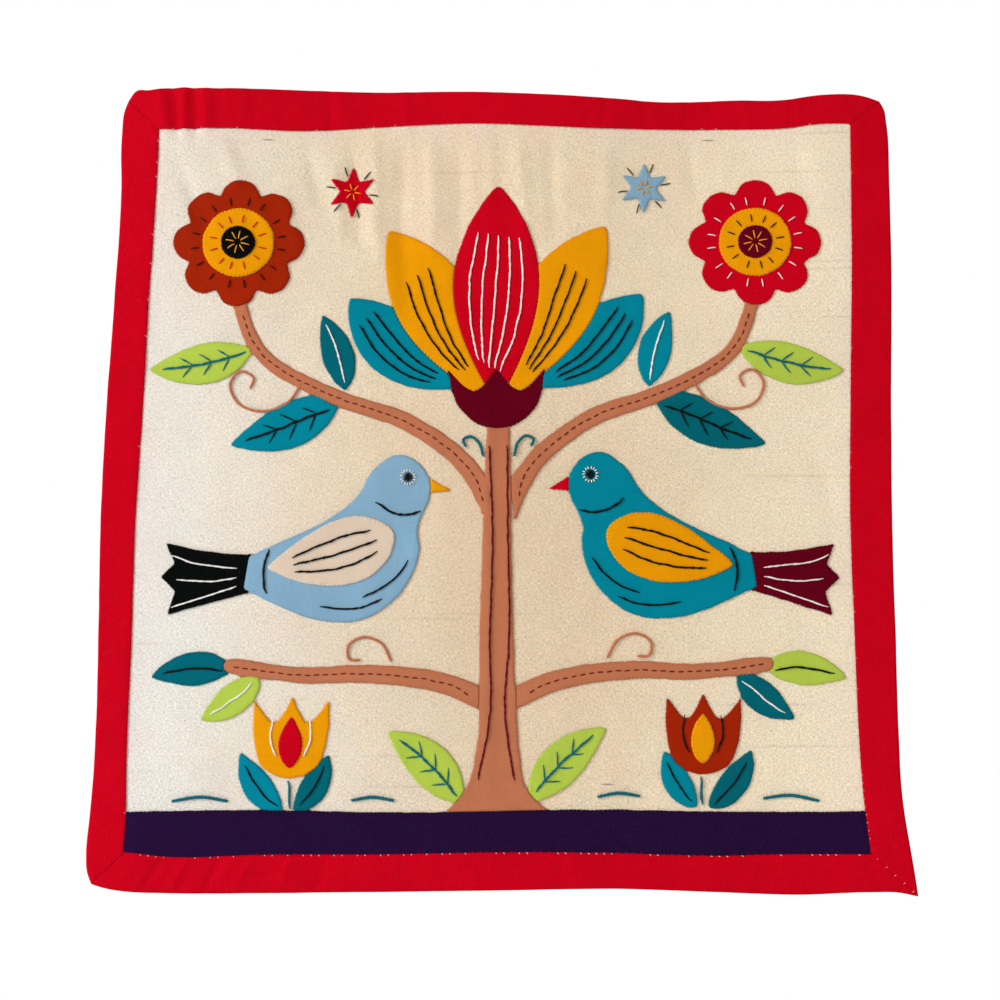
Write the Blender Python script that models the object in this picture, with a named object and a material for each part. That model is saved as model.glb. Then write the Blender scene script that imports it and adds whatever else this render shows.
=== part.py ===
"""An applique wall hanging: a natural cotton ground, a mitred border folded over its edge, a band along
the foot, and cut cotton pieces sewn on in a tree with two birds. Metres, +Z up. The cloth hangs in the
XZ plane with its face towards -Y, and the origin is the middle of its top edge."""

import math

import bmesh
import bpy
import numpy as np

# Thicknesses, and the air left between neighbouring pieces
GROUND_THICK = 0.0012
PATCH_THICK = 0.0010
GAP = 0.00035

# The border: its width, how far it turns over to the back, the line of facets between the two, the
# ground's edge inside its fold, and the fold's shoulders outside and inside, with the share of the
# fold's half height that they stand at
BORDER_WIDTH = 0.0205
BORDER_MIDDLE = 0.0150
TURN_OVER = 0.0095
GROUND_INSET = 0.0019
FOLD_OUTER = 0.0014
FOLD_OUTER_SHOULDER = 0.00035
FOLD_INNER = 0.0011
FOLD_INNER_SHOULDER = 0.00125
FOLD_INNER_START = 0.0016
SHOULDER_HEIGHT = 0.6

# Spacing of the rows of facets: close together at the corners, then even
SIDE_LENGTH = 0.4450
CORNER_STATIONS = (0.0, 0.004, 0.011, 0.024)
STATION_STEP = 0.0250
PATCH_CELL = 0.0250
CUTTER_REACH = 0.03

# How far apart the points of a curved outline are
OUTLINE_STEP = 0.0068
RIBBON_STEP = 0.009

# The band along the foot: its top edge, and the slight wave that it is sewn with
BAND_TOP = -0.4130
BAND_WAVE = 0.0006
BAND_WAVE_LENGTH = 0.031
BAND_STATIONS = 18
BAND_END_SHARES = (0.3, 0.65, 1.0)

# The design's middle line
MIDDLE_X = -0.0010

# Corners of the border, as (x, z): where its mitres meet the outer edge and the inner edge
OUTER_CORNERS = {
    "top_left": (-0.2172, -0.0055),
    "top_right": (0.2212, -0.0065),
    "bottom_right": (0.2285, -0.4582),
    "bottom_left": (-0.2238, -0.4518),
}
INNER_CORNERS = {
    "top_left": (-0.1983, -0.0236),
    "top_right": (0.2036, -0.0212),
    "bottom_right": (0.2042, -0.4358),
    "bottom_left": (-0.2055, -0.4348),
}

# Each side of the border, as (along, outer, inner): along is x on the top and bottom and z on the sides,
# and outer and inner are where its two edges lie there, as uneven as the sewn cloth is.
TOP_EDGE = (
    (-0.2172, -0.0055, -0.0236),
    (-0.2140, -0.0008, -0.0236),
    (-0.2050, 0.0008, -0.0236),
    (-0.1600, 0.0014, -0.0229),
    (-0.1150, 0.0010, -0.0238),
    (-0.0700, 0.0005, -0.0210),
    (-0.0250, 0.0002, -0.0193),
    (0.0150, -0.0013, -0.0206),
    (0.0550, -0.0034, -0.0224),
    (0.0950, -0.0056, -0.0226),
    (0.1350, -0.0046, -0.0224),
    (0.1650, -0.0050, -0.0224),
    (0.1900, -0.0022, -0.0201),
    (0.2120, -0.0034, -0.0208),
    (0.2212, -0.0065, -0.0212),
)
RIGHT_EDGE = (
    (-0.4582, 0.2285, 0.2042),
    (-0.4480, 0.2272, 0.2042),
    (-0.4300, 0.2250, 0.2031),
    (-0.4080, 0.2226, 0.2010),
    (-0.3700, 0.2218, 0.1995),
    (-0.3100, 0.2222, 0.1988),
    (-0.2400, 0.2223, 0.1984),
    (-0.1800, 0.2235, 0.2000),
    (-0.1200, 0.2252, 0.2020),
    (-0.0600, 0.2256, 0.2032),
    (-0.0200, 0.2250, 0.2036),
    (-0.0110, 0.2236, 0.2036),
    (-0.0065, 0.2212, 0.2036),
)
BOTTOM_EDGE = (
    (-0.2238, -0.4518, -0.4348),
    (-0.2180, -0.4536, -0.4348),
    (-0.2050, -0.4558, -0.4348),
    (-0.1850, -0.4568, -0.4370),
    (-0.1300, -0.4570, -0.4362),
    (-0.0700, -0.4566, -0.4362),
    (0.0000, -0.4558, -0.4351),
    (0.0600, -0.4550, -0.4356),
    (0.1150, -0.4567, -0.4371),
    (0.1650, -0.4580, -0.4362),
    (0.2050, -0.4561, -0.4358),
    (0.2180, -0.4562, -0.4358),
    (0.2285, -0.4582, -0.4358),
)
LEFT_EDGE = (
    (-0.4518, -0.2238, -0.2055),
    (-0.4460, -0.2261, -0.2062),
    (-0.4360, -0.2272, -0.2066),
    (-0.4150, -0.2262, -0.2062),
    (-0.3800, -0.2248, -0.2069),
    (-0.3200, -0.2252, -0.2063),
    (-0.2500, -0.2262, -0.2062),
    (-0.1850, -0.2250, -0.2039),
    (-0.1250, -0.2222, -0.2020),
    (-0.0600, -0.2199, -0.1991),
    (-0.0250, -0.2205, -0.1983),
    (-0.0110, -0.2192, -0.1983),
    (-0.0055, -0.2172, -0.1983),
)

# The cloth's soft swells, as (x, z, reach across, reach up, rise): a rise stands out towards the face.
SWELLS = (
    (-0.165, -0.020, 0.050, 0.110, 0.0024),
    (-0.060, -0.030, 0.055, 0.120, -0.0020),
    (0.035, -0.015, 0.060, 0.090, 0.0018),
    (0.120, -0.025, 0.050, 0.110, -0.0022),
    (0.200, -0.050, 0.055, 0.120, 0.0022),
    (-0.215, -0.210, 0.060, 0.100, -0.0020),
    (0.010, -0.235, 0.110, 0.090, 0.0022),
    (0.205, -0.280, 0.070, 0.100, -0.0020),
    (-0.120, -0.345, 0.090, 0.070, 0.0016),
    (0.100, -0.420, 0.090, 0.060, -0.0018),
    (-0.218, -0.452, 0.055, 0.055, 0.0032),
    (0.224, -0.455, 0.055, 0.060, 0.0040),
)

# Colours, linear red, green and blue
COLOURS = {
    "natural": (0.78, 0.66, 0.49),
    "red": (0.58, 0.004, 0.018),
    "purple": (0.020, 0.006, 0.032),
    "turquoise": (0.004, 0.205, 0.270),
    "teal": (0.003, 0.120, 0.160),
    "light_blue": (0.225, 0.390, 0.510),
    "yellow": (0.780, 0.320, 0.008),
    "rust": (0.350, 0.022, 0.006),
    "brown": (0.480, 0.160, 0.080),
    "maroon": (0.110, 0.002, 0.009),
    "black": (0.006, 0.007, 0.007),
    "lime": (0.400, 0.530, 0.065),
    "white": (0.740, 0.620, 0.490),
}
CLOTH_ROUGHNESS = 0.9

# Leaves, as (name, x, z, angle, length, width, bend, colour on the left, colour on the right): each grows
# from (x, z) at that angle above the right, and bends on its way. All are mirrored to the left.
LEAVES = (
    ("leaf_foot", 0.0190, -0.4090, 58, 0.058, 0.0230, -28, "lime", "lime"),
    ("leaf_low_end", 0.1480, -0.3335, 4, 0.046, 0.0185, -22, "teal", "lime"),
    ("leaf_low_under", 0.1340, -0.3370, -52, 0.040, 0.0170, 26, "lime", "teal"),
    ("leaf_high_inner", 0.0870, -0.1760, 84, 0.046, 0.0185, -22, "teal", "turquoise"),
    ("leaf_high_under", 0.0900, -0.1800, -34, 0.068, 0.0255, 20, "turquoise", "teal"),
    ("leaf_high_end", 0.1400, -0.1520, -24, 0.060, 0.0230, 24, "lime", "lime"),
)
# The flower at the top of the tree, in the same columns: the centre petal is one piece and isn't mirrored.
PETAL_CENTRE = ("petal_centre", 0.0000, -0.1860, 90, 0.128, 0.0480, 0, "red")
PETALS = (
    ("petal_side", 0.0060, -0.1840, 66, 0.116, 0.0440, -10, "yellow", "yellow"),
    ("petal_outer", 0.0180, -0.1760, 26, 0.086, 0.0370, 26, "turquoise", "turquoise"),
)
WING = (0.0600, -0.2580, -24, 0.074, 0.0370, 18)

# Where leaves, petals and wings are widest, as a share of their length, and how full they are
LEAF_WIDEST = 0.45
LEAF_FULLNESS = 0.85
PETAL_WIDEST = 0.55
PETAL_FULLNESS = 0.8
WING_WIDEST = 0.38

# Branches, as (name, knots of the middle line, width at the trunk, width at the tip)
BRANCHES = (
    (
        "branch_low",
        ((0.000, -0.3560), (0.030, -0.3430), (0.070, -0.3370), (0.112, -0.3370), (0.150, -0.3320)),
        0.0120,
        0.0070,
    ),
    (
        "branch_high",
        ((0.000, -0.2560), (0.020, -0.2190), (0.050, -0.1960), (0.095, -0.1790), (0.136, -0.1530),
         (0.150, -0.1180)),
        0.0110,
        0.0070,
    ),
)

# Hand-drawn outlines, as (x, z, 1 at a sharp corner or 0 on a smooth curve)
TRUNK = (
    (0.0300, -0.4160, 1),
    (0.0165, -0.4020, 0),
    (0.0120, -0.3800, 0),
    (0.0098, -0.3350, 0),
    (0.0090, -0.2850, 0),
    (0.0068, -0.2350, 0),
    (0.0060, -0.1900, 1),
    (-0.0060, -0.1900, 1),
    (-0.0062, -0.2350, 0),
    (-0.0082, -0.2850, 0),
    (-0.0104, -0.3350, 0),
    (-0.0110, -0.3800, 0),
    (-0.0160, -0.4010, 0),
    (-0.0290, -0.4160, 1),
)
CALYX = (
    (-0.0270, -0.1660, 1),
    (-0.0215, -0.1870, 0),
    (-0.0080, -0.1985, 0),
    (0.0080, -0.1985, 0),
    (0.0215, -0.1870, 0),
    (0.0270, -0.1660, 1),
    (0.0125, -0.1790, 0),
    (0.0000, -0.1660, 1),
    (-0.0125, -0.1790, 0),
)
BIRD_BODY = (
    (0.0560, -0.2140, 0),
    (0.0445, -0.2195, 0),
    (0.0385, -0.2310, 0),
    (0.0405, -0.2425, 0),
    (0.0455, -0.2530, 0),
    (0.0455, -0.2700, 0),
    (0.0555, -0.2920, 0),
    (0.0780, -0.3065, 0),
    (0.1050, -0.3060, 0),
    (0.1290, -0.2960, 0),
    (0.1440, -0.2890, 1),
    (0.1415, -0.2710, 1),
    (0.1240, -0.2625, 0),
    (0.1000, -0.2515, 0),
    (0.0805, -0.2370, 0),
    (0.0700, -0.2215, 0),
)
BIRD_TAIL = (
    (0.1380, -0.2700, 1),
    (0.1600, -0.2690, 0),
    (0.1880, -0.2640, 1),
    (0.1830, -0.2755, 1),
    (0.1905, -0.2830, 1),
    (0.1820, -0.2910, 1),
    (0.1860, -0.3040, 1),
    (0.1600, -0.2960, 0),
    (0.1380, -0.2900, 1),
)
BIRD_BEAK = (
    (0.0470, -0.2235, 1),
    (0.0270, -0.2350, 1),
    (0.0470, -0.2370, 1),
)
TULIP = (
    (0.1150, -0.3935, 0),
    (0.1000, -0.3870, 0),
    (0.0950, -0.3720, 0),
    (0.0945, -0.3515, 1),
    (0.1060, -0.3640, 0),
    (0.1150, -0.3490, 1),
    (0.1240, -0.3640, 0),
    (0.1355, -0.3515, 1),
    (0.1350, -0.3720, 0),
    (0.1300, -0.3870, 0),
)
TULIP_HEART = (0.1150, -0.3880, 90, 0.0280, 0.0130)
TULIP_LEAVES = (
    ("leaf_tulip_inner", 0.1120, -0.4115, 138, 0.036, 0.0150, -34, "teal", "turquoise"),
    ("leaf_tulip_outer", 0.1185, -0.4115, 36, 0.040, 0.0155, 36, "turquoise", "teal"),
)

# Round flowers at the ends of the high branches, and the stars above them
ROSE_CENTRE = (0.1490, -0.0900)
ROSE_RADIUS = 0.0370
ROSE_LOBES = 8
ROSE_LOBE_DEPTH = 0.20
LOBE_FULLNESS = 0.7
LOBE_POINTS = 4
ROSE_RING_RADIUS = 0.0200
ROSE_EYE_RADIUS = 0.0095
STAR_CENTRE = (0.0850, -0.0590)
STAR_RADIUS = 0.0150
STAR_INNER = 0.0070
STAR_POINTS = 6

# How far hand cutting drifts from the drawn line, over what distances, and where each wave starts
DRIFT = 0.0013
DRIFT_LENGTHS = (0.046, 0.057)
DRIFT_STARTS = (1.3, 0.6)


# Plane geometry: every outline is an array of (x, z) points


def through(knots, values, at):
    """A smooth curve through (knots, values), read at the given places: cubic pieces whose slope at each
    knot is that of the line between its neighbours."""
    knots, values = np.array(knots), np.array(values)
    slopes = np.gradient(values, knots)
    piece = np.clip(np.searchsorted(knots, at, side="right") - 1, 0, len(knots) - 2)
    span = knots[piece + 1] - knots[piece]
    t = (at - knots[piece]) / span
    return (
        (2 * t**3 - 3 * t**2 + 1) * values[piece]
        + (t**3 - 2 * t**2 + t) * span * slopes[piece]
        + (3 * t**2 - 2 * t**3) * values[piece + 1]
        + (t**3 - t**2) * span * slopes[piece + 1]
    )


def smooth_run(points, step=OUTLINE_STEP):
    """An open curve through the points, with a new point about every step."""
    points = np.array(points, float)
    along = np.concatenate([[0], np.cumsum(np.linalg.norm(np.diff(points, axis=0), axis=1))])
    count = max(2, round(along[-1] / step) + 1)
    at = np.linspace(0, along[-1], count)
    if len(points) == 2:
        return points[0] + (points[1] - points[0]) * (at / along[-1])[:, None]
    return np.stack([through(along, points[:, axis], at) for axis in (0, 1)], axis=1)


def drawn_loop(rows):
    """A closed outline through rows of (x, z, corner): smooth, apart from its corners."""
    rows = np.array(rows, float)
    corners = np.flatnonzero(rows[:, 2])
    if len(corners) == 0:
        wrapped = np.concatenate([rows[-3:], rows, rows[:3]])[:, :2]
        along = np.concatenate([[0], np.cumsum(np.linalg.norm(np.diff(wrapped, axis=0), axis=1))])
        first, last = along[3], along[3 + len(rows)]
        at = np.linspace(first, last, round((last - first) / OUTLINE_STEP) + 1)[:-1]
        return np.stack([through(along, wrapped[:, axis], at) for axis in (0, 1)], axis=1)
    points = np.roll(rows[:, :2], -corners[0], axis=0)
    stops = [*(corners - corners[0]), len(points)]
    points = np.concatenate([points, points[:1]])
    runs = [smooth_run(points[a : b + 1])[:-1] for a, b in zip(stops, stops[1:])]
    return np.concatenate(runs)


def leaf(x, z, angle, length, width, bend=0.0, widest=LEAF_WIDEST, fullness=LEAF_FULLNESS):
    """A leaf or petal on a middle line that is an arc: its half width is a power of a sine of the share
    of the way along, skewed so that it is widest at the given share."""
    steps = max(6, round(length / OUTLINE_STEP))
    share = (1 - np.cos(np.pi * np.linspace(0, 1, steps + 1))) / 2
    start, turn = math.radians(angle), math.radians(bend or 0.01)
    heading = start + turn * share
    middle = np.array([x, z]) + length / turn * np.stack(
        [np.sin(heading) - math.sin(start), math.cos(start) - np.cos(heading)], axis=1
    )
    across = np.stack([-np.sin(heading), np.cos(heading)], axis=1)
    half = width / 2 * np.sin(np.pi * share ** (math.log(0.5) / math.log(widest))) ** fullness
    half[0] = half[-1] = 0.0
    one, other = middle + half[:, None] * across, middle - half[:, None] * across
    return np.concatenate([one, other[-2:0:-1]])


def ribbon(knots, width_start, width_end):
    """A tapering strip along a smooth middle line, square at its start and round at its tip."""
    middle = smooth_run(knots, RIBBON_STEP)
    along = np.gradient(middle, axis=0)
    along /= np.linalg.norm(along, axis=1)[:, None]
    across = np.stack([-along[:, 1], along[:, 0]], axis=1)
    half = np.linspace(width_start, width_end, len(middle))[:, None] / 2
    turn = np.radians([60, 0, -60])[:, None]
    tip = middle[-1] + half[-1] * (np.cos(turn) * along[-1] + np.sin(turn) * across[-1])
    return np.concatenate([middle + half * across, tip, (middle - half * across)[::-1]])


def lobed(centre, radius, lobes, depth):
    """A flower outline: the radius dips by depth, to a point, between round lobes."""
    turn = np.linspace(0, 2 * np.pi, lobes * LOBE_POINTS + 1)[:-1]
    far = radius * (1 - depth + depth * np.abs(np.cos(lobes * turn / 2)) ** LOBE_FULLNESS)
    return np.array(centre) + far[:, None] * np.stack([np.cos(turn), np.sin(turn)], axis=1)


def disc(centre, radius):
    """A circle, drawn with a point at every step and at least twelve."""
    count = max(12, round(2 * np.pi * radius / OUTLINE_STEP))
    turn = np.linspace(0, 2 * np.pi, count + 1)[:-1]
    return np.array(centre) + radius * np.stack([np.cos(turn), np.sin(turn)], axis=1)


def star(centre, radius, inner, points):
    """A star with straight sides, one point up."""
    turn = np.pi / 2 + np.arange(2 * points) * np.pi / points
    far = np.where(np.arange(2 * points) % 2 == 0, radius, inner)
    return np.array(centre) + far[:, None] * np.stack([np.cos(turn), np.sin(turn)], axis=1)


def signed_area(outline):
    """Positive where the outline runs anticlockwise, seen from the face."""
    x, z = outline.T
    return 0.5 * float(np.sum(x * np.roll(z, -1) - np.roll(x, -1) * z))


def anticlockwise(outline):
    return outline if signed_area(outline) > 0 else outline[::-1]


def hand_cut(outline):
    """The drawn outline, placed on the design's middle line and drifting a little, as hand cutting does."""
    x, z = outline.T
    over, up = DRIFT_LENGTHS
    over_start, up_start = DRIFT_STARTS
    sideways = DRIFT * np.sin(z / over + over_start) + DRIFT / 2 * np.sin(x / over * 2)
    return np.stack([x + MIDDLE_X + sideways, z + DRIFT * np.sin(x / up + up_start)], axis=1)


def grown(outline, by):
    """The outline moved outwards by a small distance, along the mean of each corner's two normals."""
    ahead = np.roll(outline, -1, axis=0) - outline
    ahead /= np.linalg.norm(ahead, axis=1)[:, None]
    normal = np.stack([ahead[:, 1], -ahead[:, 0]], axis=1)
    mean = normal + np.roll(normal, 1, axis=0)
    mean /= np.maximum(np.linalg.norm(mean, axis=1), 1e-9)[:, None]
    stretch = np.maximum(np.sum(mean * normal, axis=1), 0.5)[:, None]
    return outline + by * mean / stretch


# The cloth as it hangs


def hang(x, z):
    """How far the cloth's middle surface lies behind the XZ plane: the sum of its soft swells."""
    depth = np.zeros_like(x)
    for centre_x, centre_z, reach_x, reach_z, rise in SWELLS:
        depth -= rise * np.exp(-(((x - centre_x) / reach_x) ** 2) - ((z - centre_z) / reach_z) ** 2)
    return depth


def stations():
    """Places along a side as shares of its length: close together at both corners, even between."""
    corner = np.array(CORNER_STATIONS)
    middle = SIDE_LENGTH - 2 * corner[-1]
    even = corner[-1] + middle * np.linspace(0, 1, round(middle / STATION_STEP) + 1)[1:-1]
    return np.concatenate([corner, even, (SIDE_LENGTH - corner)[::-1]]) / SIDE_LENGTH


def side_lines(edge, start, end, upright):
    """The outer and inner edge of one side of the border, as points at its stations."""
    along, outer, inner = (np.array(column) for column in zip(*edge))
    shares = stations()
    lines = []
    for corners, values in ((OUTER_CORNERS, outer), (INNER_CORNERS, inner)):
        axis = 1 if upright else 0
        first, last = corners[start][axis], corners[end][axis]
        at = first + (last - first) * shares
        level = through(along, values, at)
        level[0], level[-1] = corners[start][1 - axis], corners[end][1 - axis]
        lines.append(np.stack([level, at] if upright else [at, level], axis=1))
    return lines


def between(lines, share):
    """The line that lies the given share of the way from a side's outer edge to its inner edge."""
    outer, inner = lines
    return outer + (inner - outer) * share


# Meshes


def cloth_material(colour):
    """A matt cloth in the named colour, made once."""
    made = bpy.data.materials.get(colour)
    if made:
        return made
    made = bpy.data.materials.new(colour)
    made.use_nodes = True
    shader = made.node_tree.nodes["Principled BSDF"]
    shader.inputs["Base Color"].default_value = (*COLOURS[colour], 1.0)
    shader.inputs["Roughness"].default_value = CLOTH_ROUGHNESS
    shader.inputs["Metallic"].default_value = 0.0
    return made


def place(name, bm, colour=None):
    """Puts a finished bmesh into the scene as one named object, its faces pointing out."""
    bmesh.ops.recalc_face_normals(bm, faces=bm.faces)
    if bm.calc_volume(signed=True) < 0:
        bmesh.ops.reverse_faces(bm, faces=bm.faces)
    mesh = bpy.data.meshes.new(name)
    bm.to_mesh(mesh)
    bm.free()
    made = bpy.data.objects.new(name, mesh)
    bpy.context.scene.collection.objects.link(made)
    if colour:
        mesh.materials.append(cloth_material(colour))
    return made


def slab(outline, front, back):
    """A flat outline cut along the cell lines, then laid on the hanging cloth between two offsets."""
    bm = bmesh.new()
    bm.faces.new([bm.verts.new((x, 0.0, z)) for x, z in outline])
    for axis in (0, 1):
        low, high = outline[:, axis].min(), outline[:, axis].max()
        normal = (1, 0, 0) if axis == 0 else (0, 0, 1)
        for line in range(math.ceil(low / PATCH_CELL), math.floor(high / PATCH_CELL) + 1):
            bmesh.ops.bisect_plane(
                bm,
                geom=[*bm.verts, *bm.edges, *bm.faces],
                dist=1e-6,
                plane_co=[line * PATCH_CELL * part for part in normal],
                plane_no=normal,
            )
    raised = bmesh.ops.extrude_face_region(bm, geom=bm.faces[:])["geom"]
    raised = {v for v in raised if isinstance(v, bmesh.types.BMVert)}
    for v in bm.verts:
        level = back if v in raised else front
        v.co.y = float(hang(np.array([v.co.x]), np.array([v.co.z]))[0]) - level
    bmesh.ops.triangulate(bm, faces=bm.faces[:])
    return bm


def prism(outline):
    """A tall straight-sided solid on the outline, for cutting its neighbours back."""
    bm = bmesh.new()
    base = bm.faces.new([bm.verts.new((x, -CUTTER_REACH, z)) for x, z in outline])
    raised = bmesh.ops.extrude_face_region(bm, geom=[base])["geom"]
    bmesh.ops.translate(
        bm, vec=(0, 2 * CUTTER_REACH, 0), verts=[v for v in raised if isinstance(v, bmesh.types.BMVert)]
    )
    return bm


def spanned(bottom, top, left, right):
    """A grid of points spanned by its four edge lines, each line drawn at the same stations."""
    a = stations()[:, None, None]
    b = stations()[None, :, None]
    grid = (1 - b) * bottom[:, None] + b * top[:, None] + (1 - a) * left[None] + a * right[None]
    grid -= (1 - a) * (1 - b) * bottom[0] + a * (1 - b) * bottom[-1]
    grid -= (1 - a) * b * top[0] + a * b * top[-1]
    return grid


def add_grid(bm, grid):
    """A face for each cell of a grid of (x, z) points, on the back of the ground."""
    depth = hang(grid[..., 0], grid[..., 1]) + GROUND_THICK / 2
    rows = [[bm.verts.new((x, y, z)) for (x, z), y in zip(*line)] for line in zip(grid, depth)]
    for low, high in zip(rows, rows[1:]):
        for i in range(len(low) - 1):
            bm.faces.new((low[i], low[i + 1], high[i + 1], high[i]))


def make_ground(sides):
    """The ground: a panel spanned by the border's inner edges, and round it a frame that runs out between
    the border's two legs on the same lines as theirs."""
    bm = bmesh.new()
    add_grid(bm, spanned(*(sides[side][1] for side in ("bottom", "top", "left", "right"))))
    for lines in sides.values():
        distances = (GROUND_INSET, TURN_OVER, BORDER_MIDDLE, BORDER_WIDTH)
        add_grid(bm, np.stack([between(lines, distance / BORDER_WIDTH) for distance in distances]))
    bmesh.ops.remove_doubles(bm, verts=bm.verts, dist=1e-6)
    bmesh.ops.recalc_face_normals(bm, faces=bm.faces)
    raised = bmesh.ops.extrude_face_region(bm, geom=bm.faces[:])["geom"]
    bmesh.ops.translate(
        bm, vec=(0, -GROUND_THICK, 0), verts=[v for v in raised if isinstance(v, bmesh.types.BMVert)]
    )
    bmesh.ops.triangulate(bm, faces=bm.faces[:])
    place("ground", bm, "natural")


def border_section():
    """The folded border's section, from the sewn edge round the fold to the turned edge: for each place on
    it, the (distance in from the fold, distance towards the face) of its outside and of its inside."""
    near = GROUND_THICK / 2 + GAP
    far = near + PATCH_THICK
    return (
        ((BORDER_WIDTH, far), (BORDER_WIDTH, near)),
        ((BORDER_MIDDLE, far), (BORDER_MIDDLE, near)),
        ((TURN_OVER, far), (TURN_OVER, near)),
        ((FOLD_OUTER, far), (FOLD_INNER_START, near)),
        ((FOLD_OUTER_SHOULDER, far * SHOULDER_HEIGHT), (FOLD_INNER_SHOULDER, near * SHOULDER_HEIGHT)),
        ((0.0, 0.0), (FOLD_INNER, 0.0)),
        ((FOLD_OUTER_SHOULDER, -far * SHOULDER_HEIGHT), (FOLD_INNER_SHOULDER, -near * SHOULDER_HEIGHT)),
        ((FOLD_OUTER, -far), (FOLD_INNER_START, -near)),
        ((TURN_OVER, -far), (TURN_OVER, -near)),
    )


def make_border(name, lines):
    """One side of the border: its folded section carried from mitre to mitre, a little short of both."""
    outer, inner = lines
    trim = np.zeros(len(outer))
    trim[0], trim[-1] = GAP / 2, -GAP / 2
    ahead = outer[-1] - outer[0]
    ahead /= np.linalg.norm(ahead)
    shift = trim[:, None] * ahead * math.sqrt(2)
    bm = bmesh.new()
    outside, inside = [], []
    for pair in border_section():
        for rings, (distance, towards_face) in zip((outside, inside), pair):
            line = between((outer, inner), distance / BORDER_WIDTH) + shift
            depth = hang(line[:, 0], line[:, 1]) - towards_face
            rings.append([bm.verts.new((x, y, z)) for (x, z), y in zip(line, depth)])
    round_rings = outside + inside[::-1]
    for ring, following in zip(round_rings, round_rings[1:] + round_rings[:1]):
        for i in range(len(ring) - 1):
            bm.faces.new((ring[i], ring[i + 1], following[i + 1], following[i]))
    for end in (0, -1):
        for step in range(len(outside) - 1):
            corners = (outside[step], outside[step + 1], inside[step + 1], inside[step])
            bm.faces.new([ring[end] for ring in corners])
    bmesh.ops.recalc_face_normals(bm, faces=bm.faces)
    bmesh.ops.triangulate(bm, faces=bm.faces[:])
    place(name, bm, "red")


def band_outline(sides):
    """The band: between the border's side edges, from the bottom border up to its own top line."""
    bottom, left, right = (sides[side][1] for side in ("bottom", "left", "right"))
    foot = bottom + np.array([0.0, GAP])
    foot[0, 0] += GAP
    foot[-1, 0] -= GAP
    levels = foot[0, 1] + (BAND_TOP - foot[0, 1]) * np.array(BAND_END_SHARES)
    rising = np.stack([np.interp(levels, right[:, 1], right[:, 0]) - GAP, levels], axis=1)
    falling = np.stack([np.interp(levels, left[:, 1], left[:, 0]) + GAP, levels], axis=1)[::-1]
    across = np.linspace(rising[-1, 0], falling[0, 0], BAND_STATIONS)[1:-1]
    top = BAND_TOP + BAND_WAVE * np.sin(across / BAND_WAVE_LENGTH)
    return np.concatenate([foot, rising, np.stack([across, top], axis=1), falling])


# The sewn pieces, from the topmost down: on one level, each stops short of the ones before it.


def mirrored_pairs(rows, widest=LEAF_WIDEST, fullness=LEAF_FULLNESS):
    """Leaves or petals on both sides, from rows of the leaf table."""
    made = []
    for name, x, z, angle, length, width, bend, colour_left, colour_right in rows:
        drawn = leaf(x, z, angle, length, width, bend, widest, fullness)
        made.append((f"{name}_right", drawn, 1, colour_right))
        made.append((f"{name}_left", drawn * (-1, 1), 1, colour_left))
    return made


def both_sides(name, drawn, level, colour_left, colour_right):
    return [
        (f"{name}_right", drawn, level, colour_right),
        (f"{name}_left", drawn * (-1, 1), level, colour_left),
    ]


def top_flower():
    name, x, z, angle, length, width, bend, colour = PETAL_CENTRE
    centre = leaf(x, z, angle, length, width, bend, PETAL_WIDEST, PETAL_FULLNESS)
    return [
        ("calyx", drawn_loop(CALYX), 1, "maroon"),
        (name, centre, 1, colour),
        *mirrored_pairs(PETALS, PETAL_WIDEST, PETAL_FULLNESS),
    ]


def roses():
    return [
        *both_sides("rose_eye", disc(ROSE_CENTRE, ROSE_EYE_RADIUS), 3, "black", "maroon"),
        *both_sides("rose_ring", disc(ROSE_CENTRE, ROSE_RING_RADIUS), 2, "yellow", "yellow"),
        *both_sides("rose", lobed(ROSE_CENTRE, ROSE_RADIUS, ROSE_LOBES, ROSE_LOBE_DEPTH), 1, "rust", "red"),
    ]


def birds():
    x, z, angle, length, width, bend = WING
    wing = leaf(x, z, angle, length, width, bend, WING_WIDEST, PETAL_FULLNESS)
    return [
        *both_sides("bird_wing", wing, 2, "white", "yellow"),
        *both_sides("bird", drawn_loop(BIRD_BODY), 1, "light_blue", "turquoise"),
        *both_sides("bird_tail", drawn_loop(BIRD_TAIL), 1, "black", "maroon"),
        *both_sides("bird_beak", drawn_loop(BIRD_BEAK), 1, "yellow", "red"),
    ]


def tree():
    made = [("trunk", drawn_loop(TRUNK), 1, "brown")]
    for name, knots, width_start, width_end in BRANCHES:
        made += both_sides(name, ribbon(knots, width_start, width_end), 1, "brown", "brown")
    return made


def tulips():
    x, z, angle, length, width = TULIP_HEART
    return [
        *both_sides("tulip_heart", leaf(x, z, angle, length, width), 2, "red", "yellow"),
        *both_sides("tulip", drawn_loop(TULIP), 1, "yellow", "rust"),
        *mirrored_pairs(TULIP_LEAVES),
    ]


def stars():
    drawn = star(STAR_CENTRE, STAR_RADIUS, STAR_INNER, STAR_POINTS)
    return both_sides("star", drawn, 1, "red", "light_blue")


def sewn_pieces():
    return [
        *top_flower(),
        *roses(),
        *birds(),
        *tree(),
        *mirrored_pairs(LEAVES),
        *tulips(),
        *stars(),
    ]


def meet(one, other):
    """Whether two outlines' boxes come within the gap of each other."""
    below = np.all(one.min(axis=0) < other.max(axis=0) + GAP)
    above = np.all(other.min(axis=0) < one.max(axis=0) + GAP)
    return bool(below and above)


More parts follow.
